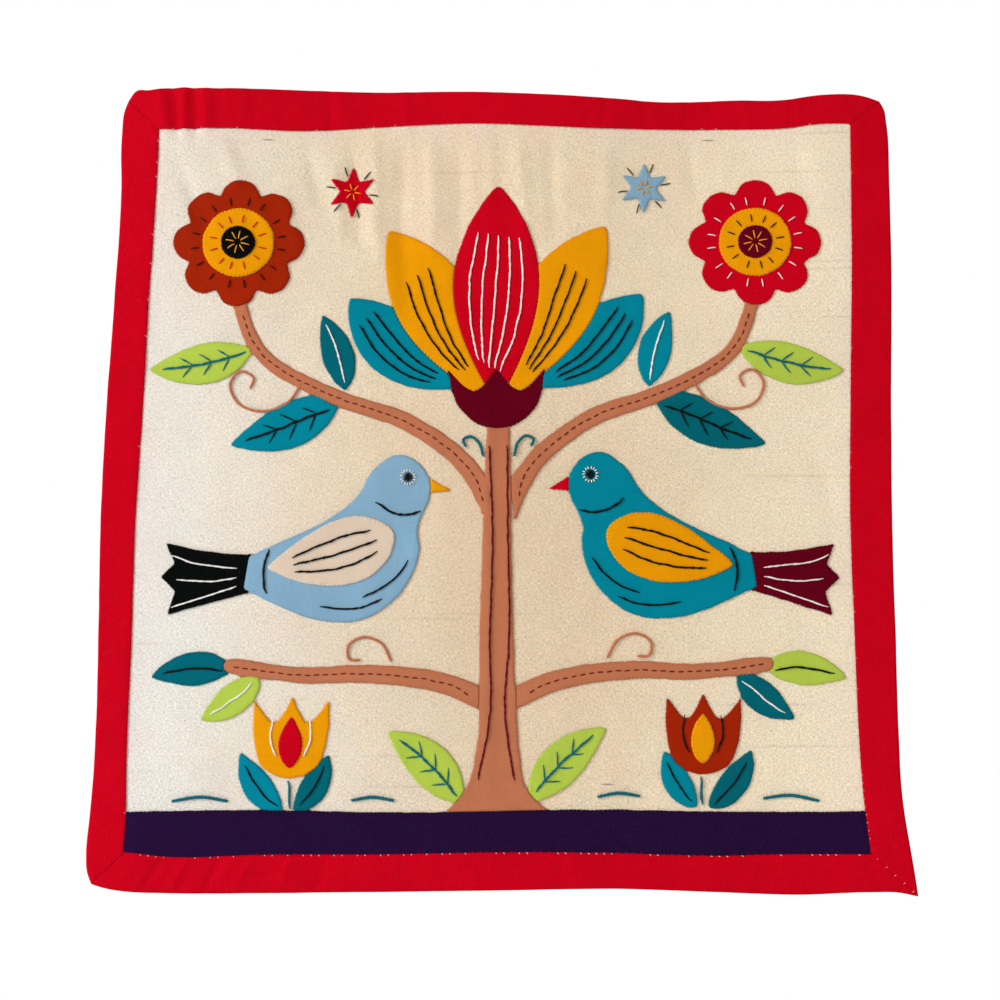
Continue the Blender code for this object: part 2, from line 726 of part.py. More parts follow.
def sew(name, outline, level, colour, over):
    """Makes one cut piece on its level, cut back where one of those before it lies against it."""
    back = GROUND_THICK / 2 + GAP + (level - 1) * (PATCH_THICK + GAP)
    made = place(name, slab(outline, back + PATCH_THICK, back), colour)
    for other_outline, other_level, cutter in over:
        if other_level == level and meet(outline, other_outline):
            cut = made.modifiers.new(f"clear_of_{cutter.name}"[:60], "BOOLEAN")
            cut.operation = "DIFFERENCE"
            cut.solver = "EXACT"
            cut.object = cutter
    cutter = place(f"around_{name}", prism(grown(outline, GAP)))
    cutter.hide_render = True
    cutter.display_type = "WIRE"
    over.append((outline, level, cutter))


def main():
    for old in list(bpy.data.objects):
        bpy.data.objects.remove(old)
    sides = {
        "top": side_lines(TOP_EDGE, "top_left", "top_right", False),
        "right": side_lines(RIGHT_EDGE, "bottom_right", "top_right", True),
        "bottom": side_lines(BOTTOM_EDGE, "bottom_left", "bottom_right", False),
        "left": side_lines(LEFT_EDGE, "bottom_left", "top_left", True),
    }
    make_ground(sides)
    for side, lines in sides.items():
        make_border(f"border_{side}", lines)
    over = []
    sew("band", anticlockwise(band_outline(sides)), 1, "purple", over)
    for name, drawn, level, colour in sewn_pieces():
        sew(name, anticlockwise(hand_cut(drawn)), level, colour, over)


main()
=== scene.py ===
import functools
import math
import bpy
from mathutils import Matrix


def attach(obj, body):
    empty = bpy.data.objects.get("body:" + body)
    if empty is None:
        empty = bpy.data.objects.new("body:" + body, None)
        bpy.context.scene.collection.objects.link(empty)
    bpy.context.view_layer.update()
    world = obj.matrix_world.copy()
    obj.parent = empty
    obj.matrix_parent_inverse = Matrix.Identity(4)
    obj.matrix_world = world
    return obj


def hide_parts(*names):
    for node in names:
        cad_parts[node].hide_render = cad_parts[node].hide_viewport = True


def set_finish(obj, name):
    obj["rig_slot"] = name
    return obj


bl_info = {
    "name": "Applique wall hanging",
    "version": (1, 0, 0),
    "blender": (4, 5, 0),
    "location": "View3D > Sidebar > Hanging",
    "description": "Dresses the packed hanging in woven cloth, turned edges, hand stitches and embroidery",
    "category": "Object",
}

import bpy
import numpy as np
from bpy.props import FloatProperty, FloatVectorProperty, PointerProperty
from mathutils import Vector, geometry

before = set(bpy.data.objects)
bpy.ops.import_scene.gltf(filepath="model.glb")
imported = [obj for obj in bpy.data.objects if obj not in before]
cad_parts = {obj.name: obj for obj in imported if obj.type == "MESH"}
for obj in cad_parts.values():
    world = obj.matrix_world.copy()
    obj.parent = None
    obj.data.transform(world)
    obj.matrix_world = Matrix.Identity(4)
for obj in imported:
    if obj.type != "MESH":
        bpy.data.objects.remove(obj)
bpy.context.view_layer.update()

MM = 0.001

# The cloth's levels, in front of the middle of its ground
GROUND_HALF = 0.60 * MM
FIRST_LEVEL = 0.64 * MM
LEVEL_STEP = 0.60 * MM

# The border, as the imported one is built
BORDER_WIDTH = 20.5 * MM
TURN_OVER = 9.5 * MM
GROUND_INSET = 1.9 * MM
SIDE_LENGTH = 445.0 * MM
OUTER_CORNERS = {
    "top_left": (-0.2172, -0.0055),
    "top_right": (0.2212, -0.0065),
    "bottom_right": (0.2285, -0.4582),
    "bottom_left": (-0.2238, -0.4518),
}
INNER_CORNERS = {
    "top_left": (-0.1983, -0.0236),
    "top_right": (0.2036, -0.0212),
    "bottom_right": (0.2042, -0.4358),
    "bottom_left": (-0.2055, -0.4348),
}

# Each side of the border, as (along, outer, inner) in mm: along is x on the top and bottom and z on the
# sides, and outer and inner are where its two edges lie there.
EDGES = {
    "top": (
        (-217.2, -5.5, -23.6), (-214, -0.8, -23.6), (-205, 0.8, -23.6), (-160, 1.4, -22.9), (-115, 1, -23.8),
        (-70, 0.5, -21), (-25, 0.2, -19.3), (15, -1.3, -20.6), (55, -3.4, -22.4), (95, -5.6, -22.6),
        (135, -4.6, -22.4), (165, -5, -22.4), (190, -2.2, -20.1), (212, -3.4, -20.8), (221.2, -6.5, -21.2),
    ),
    "right": (
        (-458.2, 228.5, 204.2), (-448, 227.2, 204.2), (-430, 225, 203.1), (-408, 222.6, 201),
        (-370, 221.8, 199.5), (-310, 222.2, 198.8), (-240, 222.3, 198.4), (-180, 223.5, 200),
        (-120, 225.2, 202), (-60, 225.6, 203.2), (-20, 225, 203.6), (-11, 223.6, 203.6), (-6.5, 221.2, 203.6),
    ),
    "bottom": (
        (-223.8, -451.8, -434.8), (-218, -453.6, -434.8), (-205, -455.8, -434.8), (-185, -456.8, -437),
        (-130, -457, -436.2), (-70, -456.6, -436.2), (0, -455.8, -435.1), (60, -455, -435.6),
        (115, -456.7, -437.1), (165, -458, -436.2), (205, -456.1, -435.8), (218, -456.2, -435.8),
        (228.5, -458.2, -435.8),
    ),
    "left": (
        (-451.8, -223.8, -205.5), (-446, -226.1, -206.2), (-436, -227.2, -206.6), (-415, -226.2, -206.2),
        (-380, -224.8, -206.9), (-320, -225.2, -206.3), (-250, -226.2, -206.2), (-185, -225, -203.9),
        (-125, -222.2, -202), (-60, -219.9, -199.1), (-25, -220.5, -198.3), (-11, -219.2, -198.3),
        (-5.5, -217.2, -198.3),
    ),
}
RING = ("bottom", "right", "top", "left")
SIDE_ENDS = {
    "top": ("top_left", "top_right"),
    "right": ("bottom_right", "top_right"),
    "bottom": ("bottom_left", "bottom_right"),
    "left": ("bottom_left", "top_left"),
}

# The cloth's soft swells, as (x, z, reach across, reach up, rise) in mm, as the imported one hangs
SWELLS = (
    (-165, -20, 50, 110, 2.4), (-60, -30, 55, 120, -2.0), (35, -15, 60, 90, 1.8),
    (120, -25, 50, 110, -2.2), (200, -50, 55, 120, 2.2), (-215, -210, 60, 100, -2.0),
    (10, -235, 110, 90, 2.2), (205, -280, 70, 100, -2.0), (-120, -345, 90, 70, 1.6),
    (100, -420, 90, 60, -1.8), (-218, -452, 55, 55, 3.2), (224, -455, 55, 60, 4.0),
)

# Creases, as (x, z) of both ends, width and rise in mm: a soft ridge, or a trough where the rise is negative
CREASES = (
    # pressed folds of the stored cloth
    (-6, -28, -7, -400, 2.4, 0.55), (-200, -101, 195, -104, 2.4, -0.38),
    (-195, -158, 200, -156, 2.4, 0.34), (-205, -326, 198, -323, 2.3, -0.40),
    # soft ripples below the top border
    (-184, -50, -168, -88, 4.5, -1.10), (-162, -32, -140, -78, 5.0, 1.25), (-150, -56, -136, -94, 4.0, -0.95),
    (-126, -60, -117, -96, 3.6, 0.85), (-112, -36, -104, -66, 4.5, -1.15), (-96, -44, -92, -84, 3.2, 0.95),
    (-86, -36, -81, -90, 3.4, -1.00), (-74, -30, -70, -100, 4.2, 1.15), (-58, -36, -54, -128, 4.4, -1.10),
    (-40, -30, -38, -94, 4.2, 1.10), (-24, -34, -22, -120, 4.6, -1.00), (12, -30, 14, -100, 4.6, 1.00),
    (30, -30, 32, -86, 4.4, -0.95), (62, -30, 60, -75, 4.6, 0.70), (110, -32, 116, -70, 5.0, -0.75),
    (135, -34, 130, -60, 4.6, 0.60), (172, -36, 180, -70, 5.0, -0.85),
    # a dip along the top border
    (-165, -43, 170, -41, 8.0, -0.75),
    # longer, fainter ones lower down
    (-196, -250, -150, -262, 5.5, 0.55), (-40, -205, -30, -260, 5.5, 0.50), (34, -320, 50, -300, 5.0, 0.45),
    (172, -200, 190, -250, 5.5, -0.55), (-190, -380, -160, -400, 5.0, 0.50),
    # gathers in the border at the top left corner
    (-198.5, 0, -195, -22, 2.4, 1.00), (-190.5, 1, -188, -25, 2.0, -1.60), (-184, 1, -183.5, -25, 1.7, 1.30),
    (-178.5, 1, -177.5, -25, 1.8, -1.60), (-171.5, 1, -170.5, -23, 2.4, 1.20),
    (-163, 1, -163, -22, 2.4, -0.65), (-150, 1, -149, -22, 3.0, 0.50),
    (-98, 1, -98.5, -22, 2.6, -0.60), (-56, 1, -55, -21, 3.0, 0.50),
    # the top edge drawn in, towards the right
    (62, -3, 60, -20, 2.6, -0.40), (84, -4, 85, -21, 2.8, -0.45), (106, -5, 105, -22, 2.8, 0.40),
    (123, -4, 124, -21, 2.6, -0.42), (144, -4, 143, -21, 3.0, 0.35), (170, -4, 171, -20, 2.8, -0.38),
    # slack in the bottom border
    (-206, -448, -200, -440, 2.4, 0.55), (-195, -452, -184, -438, 2.2, -0.70),
    (-180, -455, -172, -438, 2.3, 0.62), (-162, -455, -152, -438, 2.2, -0.70),
    (-144, -455, -137, -439, 2.6, 0.60), (-150, -451, -100, -446, 2.0, -0.55),
    (-122, -456, -114, -438, 2.4, 0.55), (-102, -455, -96, -438, 2.4, -0.52),
    (-60, -454, -56, -438, 2.8, 0.40), (30, -454, 34, -438, 2.8, -0.40), (142, -456, 150, -438, 2.6, -0.52),
    (190, -456, 196, -438, 2.6, 0.52), (208, -452, 202, -440, 2.4, -0.55),
    # the upright borders
    (-220, -150, -203, -155, 3.0, 0.45), (-224, -300, -207, -306, 3.0, -0.45),
    (204, -130, 224, -134, 3.0, -0.45), (200, -270, 221, -262, 3.0, 0.45),
)
# How softly a crease fades past its ends
CREASE_FADE = 4.0 * MM

# Unevenness all over, as (size of its patches in mm, rise in mm, seed)
UNEVEN = ((62.0, 0.70, 3), (27.0, 0.42, 4), (12.0, 0.15, 5))

# The sewn pieces, as (name, level on the ground, record slot on the right, and on the left). A name with one
# slot is a single piece in the middle.
SEWN_NAMES = (
    ("band", 1, "purple"),
    ("calyx", 1, "maroon"),
    ("petal_centre", 1, "red"),
    ("petal_side", 1, "yellow", "yellow"),
    ("petal_outer", 1, "turquoise", "turquoise"),
    ("rose", 1, "red", "rust"),
    ("rose_ring", 2, "yellow", "yellow"),
    ("rose_eye", 3, "maroon", "black"),
    ("bird", 1, "turquoise", "light_blue"),
    ("bird_wing", 2, "yellow", "white"),
    ("bird_tail", 1, "maroon", "black"),
    ("bird_beak", 1, "red", "yellow"),
    ("trunk", 1, "brown"),
    ("branch_low", 1, "brown", "brown"),
    ("branch_high", 1, "brown", "brown"),
    ("leaf_foot", 1, "lime", "lime"),
    ("leaf_low_end", 1, "lime", "teal"),
    ("leaf_low_under", 1, "teal", "lime"),
    ("leaf_high_inner", 1, "turquoise", "teal"),
    ("leaf_high_under", 1, "teal", "turquoise"),
    ("leaf_high_end", 1, "lime", "lime"),
    ("tulip", 1, "rust", "yellow"),
    ("tulip_heart", 2, "yellow", "red"),
    ("leaf_tulip_inner", 1, "turquoise", "teal"),
    ("leaf_tulip_outer", 1, "teal", "turquoise"),
    ("star", 1, "light_blue", "red"),
)
SEWN = [
    (name if len(slots) == 1 else f"{name}_{side}", level, slot)
    for name, level, *slots in SEWN_NAMES
    for side, slot in zip(("right", "left"), slots)
]
LEVELS = {node: level for node, level, _ in SEWN}

# The band at the foot
BAND_TOP = -413.0 * MM
BAND_WAVE = 0.6 * MM
BAND_WAVE_LENGTH = 31.0 * MM
TUCK = 1.2 * MM

# How sewn pieces lie: the turned allowance and how far the middle sinks inside it
TURNED = 4.6 * MM
SINK = 0.20 * MM
ROLL = 0.80 * MM
SEWN_THICK = 0.75 * MM
EDGE_THICK = 0.14 * MM
GROWN = 0.12 * MM
RIM_RINGS = (0.30 * MM, 0.85 * MM, 2.0 * MM)
FILL_STEP = 3.6 * MM

# Lines stitched along the length of pieces, as (nodes that start with this, thread slot, kind, width in mm,
# places across from -1 at one side to 1 at the other, start and end as shares of the length from the tip)
RIBS = (
    ("petal_centre", "white", "stem", 1.0, (-0.62, -0.31, 0.0, 0.31, 0.62), 0.26, 0.88),
    ("petal_side", "black", "stem", 1.1, (-0.4, 0.0, 0.4), 0.30, 0.86),
    ("petal_outer", "black", "stem", 1.2, (-0.45, 0.0, 0.45), 0.22, 0.86),
    ("leaf_foot", "teal", "stem", 1.3, (0.0,), 0.15, 0.93),
    ("leaf_low_end", "black", "stem", 1.2, (0.0,), 0.16, 0.92),
    ("leaf_low_under", "white", "stem", 1.0, (0.0,), 0.16, 0.92),
    ("leaf_high_inner", "white", "stem", 1.0, (0.0,), 0.14, 0.92),
    ("leaf_high_under", "black", "stem", 1.3, (0.0,), 0.14, 0.94),
    ("leaf_high_end", "teal", "stem", 1.3, (0.0,), 0.14, 0.94),
    ("leaf_tulip", "black", "stem", 1.0, (0.0,), 0.18, 0.92),
    ("branch", "maroon", "dash", 0.9, (0.0,), 0.05, 0.95),
    ("bird_wing", "black", "stem", 1.2, (-0.45, 0.0, 0.45), 0.20, 0.80),
)
# Side veins of the larger leaves, as (nodes that start with this, thread slot, width in mm, count)
VEINS = (
    ("leaf_high_under", "black", 0.9, 3),
    ("leaf_high_end", "teal", 0.9, 3),
    ("leaf_foot", "teal", 0.9, 3),
)
# Free lines on the right half, mirrored to the left, as (thread on the right, thread on the left, kind,
# width in mm, level of what lies below, (x, z) points in mm)
DRAWN = (
    ("black", "black", "stem", 1.3, 1, ((44, -246.6), (51, -248.4), (60, -247), (71, -240))),
    ("black", "black", "stem", 1.1, 1, ((51, -274), (57, -282), (67, -289.5), (79, -294.5))),
    ("black", "black", "stem", 1.1, 1, ((66, -295.5), (77, -299.7), (90, -300.5), (103, -298.5))),
    ("black", "black", "stem", 1.3, 1, ((130, -267), (133, -276), (133, -286), (131, -293))),
    ("teal", "teal", "couch", 1.8, 0, (
        (8.5, -216), (11, -208), (15.5, -204.5), (19.5, -206.5), (18, -210.5),
    )),
    ("brown", "brown", "couch", 1.7, 0, (
        (112, -171.5), (120, -183), (134, -188), (148, -183),
        (152, -172), (146, -165), (139, -169), (141, -175),
    )),
    ("brown", "brown", "couch", 1.7, 0, (
        (60, -330), (66, -320), (77, -316.5), (85, -321.5), (84, -328.5), (77.5, -329),
    )),
    ("teal", "teal", "couch", 2.1, 0, ((56, -406.5), (68, -404.5), (80, -406))),
    ("teal", "teal", "couch", 2.1, 0, ((148, -406), (162, -404), (178, -406.5))),
    ("black", "white", "stem", 1.0, 1, ((105, -361), (104, -372), (108, -383))),
    ("black", "white", "stem", 1.0, 1, ((125, -361), (126, -372), (122, -383))),
    ("teal", "teal", "stem", 1.5, 0, ((115, -395), (114.5, -403), (115, -411.5))),
    ("white", "white", "stem", 0.9, 1, ((148, -278), (160, -276.5), (174, -274.5), (186, -270))),
    ("white", "white", "stem", 0.9, 1, ((148, -283), (160, -285), (172, -285), (182, -284))),
    ("white", "white", "stem", 0.9, 1, ((148, -288), (160, -292), (172, -296), (184, -300))),
    ("maroon", "maroon", "stem", 1.1, 1, ((5, -210), (4.2, -260), (5.2, -320), (4, -360), (10, -398))),
)
# Rings of straight stitches, as (x, z, inner and outer radius in mm, count, thread right, thread left, level)
SPOKES = (
    (149, -90, 22.2, 26.8, 16, "white", "black", 1),
    (149, -90, 11.8, 16.4, 12, "black", "red", 2),
    (149, -90, 2.0, 6.6, 8, "yellow", "yellow", 3),
    (85, -59, 1.4, 5.0, 6, "yellow", "yellow", 1),
    (85, -59, 10.0, 15.8, 6, "black", "black", 0),
    (51, -227, 0.1, 2.7, 13, "black", "black", 1),
    (51, -227, 3.2, 4.6, 15, "white", "white", 1),
)

# Where the design's middle line lies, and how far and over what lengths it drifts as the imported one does
MIDDLE_X = -1.0 * MM
DRIFT = 1.3 * MM
DRIFT_LENGTHS = (46 * MM, 57 * MM)
DRIFT_STARTS = (1.3, 0.6)

# How many points a sewn piece's side has, from its tip to its base
SIDE_POINTS = 160

# Stitches over an edge, as (how far in, how far along, height) of their points in mm
WHIP = ((-0.55, -0.10, 0.02), (0.02, 0.05, 0.56), (0.50, 0.22, 0.88), (1.05, 0.40, 0.77))
WHIP_BEHIND = ((0.30, -0.10, -0.52), (0.55, 0.45, -0.72), (0.80, 1.15, -0.72), (1.05, 1.70, -0.52))
SLIP = ((-0.55, -0.30, 0.75), (0.05, -0.10, 1.22), (0.45, 0.15, 1.54), (0.85, 0.35, 1.34))
SLIP_OVER_BAND = ((-0.70, -0.30, 1.20), *SLIP[1:])
SLIP_BEHIND = ((0.45, -0.40, -1.10), (0.05, -0.10, -1.75), (-0.40, 0.20, -1.98), (-0.95, 0.50, -1.86))
# Half the thickness of the sewing threads, and of the straight embroidery stitches
SEWING_RADIUS = 0.17 * MM
BEHIND_RADIUS = 0.16 * MM
CROSS_RADIUS = 0.15 * MM
PALE_CROSS_RADIUS = 0.10 * MM
SPOKE_RADIUS = 0.36 * MM
# Embroidered lines, as (length of a stitch and pace from one to the next in mm, then as shares of the line's
# width: slant, height at its ends, bulge in its middle, radius)
STITCHES = {"stem": (4.6, 2.1, 0.30, 0.15, 0.20, 0.34), "dash": (3.1, 5.0, 0.05, 0.0, 0.30, 0.42)}

# The cells of the ground and of the border, which has smaller ones near its corners
GROUND_STEP = 2.15 * MM
BORDER_STEP = 1.55 * MM
CORNER_STEP = 0.75 * MM
CORNER_REACH = 9 * MM


# What a user would change


def spacing_choice(label, what, value):
    return FloatProperty(name=label, description=f"Distance between the {what}", default=value, unit="LENGTH")


class HangingSizes(bpy.types.PropertyGroup):
    unevenness: FloatProperty(
        name="Unevenness",
        description="How strongly the cloth's ripples, creases and folds stand out",
        default=1.0,
        min=0.0,
        max=3.0,
        subtype="FACTOR",
    )
    whip_spacing: spacing_choice("Whip stitch spacing", "small stitches round each sewn piece", 2.4 * MM)
    slip_spacing: spacing_choice("Slip stitch spacing", "stitches that hold the border down", 4.6 * MM)
    ground_pitch: spacing_choice("Ground thread pitch", "threads of the ground's weave", 0.56 * MM)
    cotton_pitch: spacing_choice("Cotton thread pitch", "threads of the coloured cottons", 0.30 * MM)


def colour_choice(label, value):
    return FloatVectorProperty(
        name=label, description=f"Colour of the {label.lower()} cloth", default=value, size=3, subtype="COLOR"
    )


class HangingColours(bpy.types.PropertyGroup):
    natural: colour_choice("Natural", (0.875, 0.730, 0.510))
    red: colour_choice("Red", (0.545, 0.0001, 0.0090))
    purple: colour_choice("Purple", (0.0165, 0.0035, 0.0310))
    turquoise: colour_choice("Turquoise", (0.0002, 0.2100, 0.2850))
    teal: colour_choice("Teal", (0.0003, 0.1160, 0.1480))
    light_blue: colour_choice("Light blue", (0.2200, 0.3750, 0.5000))
    yellow: colour_choice("Yellow", (0.7800, 0.2950, 0.0010))
    rust: colour_choice("Rust", (0.3350, 0.0160, 0.0015))
    brown: colour_choice("Brown", (0.4900, 0.1600, 0.0740))
    maroon: colour_choice("Maroon", (0.1130, 0.0001, 0.0080))
    black: colour_choice("Black", (0.0020, 0.0028, 0.0025))
    lime: colour_choice("Lime", (0.4250, 0.5450, 0.0640))
    white: colour_choice("White", (0.6900, 0.5300, 0.3950))


def sizes():
    return bpy.context.scene.hanging_sizes


def colour_of(slot):
    return tuple(getattr(bpy.context.scene.hanging_colours, slot))


# Curves and unevenness


def through(knots, values, at):
    """A smooth curve through (knots, values), read at the given places: cubic pieces whose slope at each
    knot is that of the line between its neighbours."""
    knots, values = np.array(knots), np.array(values)
    slopes = np.gradient(values, knots)
    piece = np.clip(np.searchsorted(knots, at, side="right") - 1, 0, len(knots) - 2)
    span = knots[piece + 1] - knots[piece]
    t = (at - knots[piece]) / span
    return (
        (2 * t**3 - 3 * t**2 + 1) * values[piece]
        + (t**3 - 2 * t**2 + t) * span * slopes[piece]
        + (3 * t**2 - 2 * t**3) * values[piece + 1]
        + (t**3 - t**2) * span * slopes[piece + 1]
    )


def ease(t):
    """A smooth step: a cubic from 0 to 1 with no slope at either end."""
    return t * t * (3 - 2 * t)


def lengths(points):
    """The distance along a line to each of its points."""
    return np.concatenate([[0], np.cumsum(np.linalg.norm(np.diff(points, axis=0), axis=1))])


def straight(along, line, at):
    """The places at given distances along a line, straight between its points."""
    return np.stack([np.interp(at, along, line[:, axis]) for axis in (0, 1)], axis=-1)


def smooth(along, line, at):
    """The places at given distances along a smooth curve through a line's points."""
    return np.stack([through(along, line[:, axis], at) for axis in (0, 1)], axis=1)


def unit(vectors):
    """The vectors, each given a length of one."""
    return vectors / np.maximum(np.linalg.norm(vectors, axis=-1, keepdims=True), 1e-12)


def turned_left(vectors):
    """The (x, z) vectors, each turned a quarter to the left."""
    return np.stack([-vectors[..., 1], vectors[..., 0]], axis=-1)


def curve(points, step):
    """A smooth open line through (x, z) points, with a new point about every step."""
    points = np.array(points, float)
    along = lengths(points)
    at = np.linspace(0, along[-1], max(2, round(along[-1] / step) + 1))
    return smooth(along, points, at)


def cloudy(x, z, cell, seed):
    """Smooth unevenness from -1 to 1: random heights on a square lattice of the given cell, joined by an
    S-shaped blend in both directions."""
    heights = np.random.default_rng(seed).uniform(-1, 1, (256, 256))
    u, v = x / cell + 128.37, z / cell + 128.61
    i, j = np.floor(u).astype(int), np.floor(v).astype(int)
    a, b = ease(u - i), ease(v - j)
    low = heights[i, j] * (1 - a) + heights[i + 1, j] * a
    high = heights[i, j + 1] * (1 - a) + heights[i + 1, j + 1] * a
    return low * (1 - b) + high * b


def rise_of_creases(x, z):
    """The sum of the creases: each is a bell across its line, of the given width, fading past both ends."""
    total = np.zeros_like(x)
    for x1, z1, x2, z2, width, rise in np.array(CREASES) * MM:
        dx, dz = x2 - x1, z2 - z1
        length = math.hypot(dx, dz)
        along = ((x - x1) * dx + (z - z1) * dz) / length
        across = ((x - x1) * dz - (z - z1) * dx) / length
        wander = 0.36 * width * cloudy(along, np.full_like(along, x1), 18 * MM, 9)
        fade = 1 / (1 + np.exp(-along / CREASE_FADE)) / (1 + np.exp((along - length) / CREASE_FADE))
        total += rise * fade * np.exp(-(((across + wander) / width) ** 2))
    return total


def lie(x, z):
    """How far the middle of the ground lies behind the XZ plane: the soft swells, the creases and the
    unevenness. Every cloth and stitch is placed from it, so that all of them follow the same folds."""
    depth = np.zeros_like(x)
    for centre_x, centre_z, reach_x, reach_z, rise in np.array(SWELLS) * MM:
        depth -= rise * np.exp(-(((x - centre_x) / reach_x) ** 2) - ((z - centre_z) / reach_z) ** 2)
    fine = rise_of_creases(x, z)
    for cell, rise, seed in UNEVEN:
        fine += rise * MM * cloudy(x, z, cell * MM, seed)
    return depth - sizes().unevenness * fine


def hand_cut(points):
    """The drawn points, placed on the design's middle line and drifting as the sewn pieces do."""
    x, z = np.array(points, float).T
    over, up = DRIFT_LENGTHS
    over_start, up_start = DRIFT_STARTS
    sideways = DRIFT * np.sin(z / over + over_start) + DRIFT / 2 * np.sin(x / over * 2)
    return np.stack([x + MIDDLE_X + sideways, z + DRIFT * np.sin(x / up + up_start)], axis=1)


# Outlines, as arrays of (x, z)


def packed_outline(node):
    """The outline of a sewn piece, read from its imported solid: the open edges of the triangles that look
    towards the face, in order, anticlockwise as seen from the face."""
    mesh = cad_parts[node].data
    mesh.calc_loop_triangles()
    points = np.zeros(len(mesh.vertices) * 3)
    mesh.vertices.foreach_get("co", points)
    triangles = np.zeros(len(mesh.loop_triangles) * 3, int)
    mesh.loop_triangles.foreach_get("vertices", triangles)
    points, merged = np.unique(points.reshape(-1, 3).round(7), axis=0, return_inverse=True)
    triangles = merged.reshape(-1)[triangles].reshape(-1, 3)
    a, b, c = (points[triangles[:, i]] for i in range(3))
    normal = np.cross(b - a, c - a)
    facing = normal[:, 1] < -0.5 * np.linalg.norm(normal, axis=1)
    following = dict(open_edges(triangles[facing], len(points)).tolist())
    loop = [next(iter(following))]
    while following[loop[-1]] != loop[0]:
        loop.append(following[loop[-1]])
    return points[loop][:, [0, 2]]


def turn_angles(points):
    """The turn at each point of a closed line, in degrees."""
    ahead = np.roll(points, -1, axis=0) - points
    heading = np.arctan2(ahead[:, 1], ahead[:, 0])
    return np.degrees((heading - np.roll(heading, 1) + np.pi) % (2 * np.pi) - np.pi)


def drawn_smooth(points, corner=48.0):
    """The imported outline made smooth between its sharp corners, with a point about every half millimetre."""
    for _ in range(3):
        apart = np.linalg.norm(points - np.roll(points, 1, axis=0), axis=1) > 0.5 * MM
        points = points[apart]
        points = points[np.abs(turn_angles(points)) > 1.5]
    sharp = np.flatnonzero(np.abs(turn_angles(points)) > corner)
    if len(sharp) == 0:
        around = np.concatenate([points[-3:], points, points[:4]])
        along = lengths(around)
        at = np.linspace(along[3], along[3 + len(points)], 400)[:-1]
        return smooth(along, around, at)
    points = np.roll(points, -sharp[0], axis=0)
    stops = [*(sharp - sharp[0]), len(points)]
    points = np.concatenate([points, points[:1]])
    return np.concatenate([curve(points[i : j + 1], 0.5 * MM)[:-1] for i, j in zip(stops, stops[1:])])


def evenly(points, spacing, multiple=1):
    """A closed line with its points evenly spaced along it, their number a multiple of the one given."""
    closed = np.concatenate([points, points[:1]])
    along = lengths(closed)
    count = max(3, round(along[-1] / spacing / multiple)) * multiple
    return straight(along, closed, np.linspace(0, along[-1], count + 1)[:-1])


def inward(points):
    """The inward normal at each point of an anticlockwise closed line."""
    return turned_left(unit(np.roll(points, -1, axis=0) - np.roll(points, 1, axis=0)))


def band_outline():
    """The band's outline: tucked under the border at its foot and both ends, and waving along its top."""
    at = np.linspace(0, 1, 300)
    foot, right, left = (
        between_lines(*side_lines(side, at), BORDER_WIDTH - TUCK) for side in ("bottom", "right", "left")
    )
    right, left = (line[line[:, 1] < BAND_TOP] for line in (right, left))
    across = np.linspace(right[-1, 0], left[-1, 0], 200)
    top = BAND_TOP + BAND_WAVE * np.sin(across / BAND_WAVE_LENGTH)
    return np.concatenate([foot, right[1:], np.stack([across, top], axis=1), left[::-1][:-1]])


def opening():
    """The border's inner edge, as a closed outline."""
    at = np.linspace(0, 1, 150)[:-1]
    lines = [side_lines(side, at if side in ("bottom", "right") else at[::-1] + at[1])[1] for side in RING]
    return np.concatenate(lines)


@functools.cache
def smooth_outline(node):
    return band_outline() if node == "band" else drawn_smooth(packed_outline(node))


def gap_beside(node, points):
    """The distance from each point of a piece's outline to the nearest neighbour sewn on the same level."""
    gap = np.full(len(points), 1.0)
    for other, level, _ in SEWN:
        outline = smooth_outline(other)
        apart = np.maximum(outline.min(0) - points.max(0), points.min(0) - outline.max(0)).max()
        if level == LEVELS[node] and other != node and apart < 2 * MM:
            gap = np.minimum(gap, distance_to(points, outline))
    return gap


@functools.cache
def stitched_outline(node):
    """The edge of a sewn piece: its smooth outline with corners rounded by a thread or two, drawn in at each
    whip stitch and a little uneven between them. Every third point is at a stitch. Beside a neighbour it
    runs on to meet it halfway."""
    points = evenly(smooth_outline(node), sizes().whip_spacing / 3, 3)
    gap = gap_beside(node, points)
    for _ in range(2):
        points = (np.roll(points, 1, axis=0) + 2 * points + np.roll(points, -1, axis=0)) / 4
    seed = sum(map(ord, node))
    wobble = cloudy(*points.T, 5.5 * MM, seed) * 0.24 * MM + cloudy(*points.T, 1.7 * MM, seed + 1) * 0.16 * MM
    drawn_in = np.where(np.arange(len(points)) % 3 == 0, 0.36 * MM, -0.12 * MM)
    alone = np.clip((gap - 1.1 * MM) / (0.7 * MM), 0, 1)
    meeting = 0.02 * MM - np.minimum(gap, 1.8 * MM) / 2
    move = alone * (wobble + drawn_in - GROWN) + (1 - alone) * meeting
    return points + inward(points) * move[:, None]


def distance_to(points, outline):
    """The distance from each point to the nearest place on a closed outline."""
    a = outline
    d = np.roll(outline, -1, axis=0) - a
    nearest = np.full(len(points), np.inf)
    for start in range(0, len(points), 2000):
        p = points[start : start + 2000, None]
        t = np.clip(((p - a) * d).sum(-1) / np.maximum((d * d).sum(-1), 1e-18), 0, 1)
        nearest[start : start + 2000] = np.linalg.norm(p - a - t[..., None] * d, axis=-1).min(1)
    return nearest


def inside(points, outline):
    """Whether each point lies inside a closed outline: a line from it crosses the outline an odd number of
    times."""
    x, z = points[:, 0, None], points[:, 1, None]
    x1, z1 = outline.T
    x2, z2 = np.roll(outline, -1, axis=0).T
    crosses = (z1 > z) != (z2 > z)
    reach = x1 + (z - z1) * (x2 - x1) / np.where(z2 == z1, 1e-12, z2 - z1)
    return (crosses & (x < reach)).sum(1) % 2 == 1


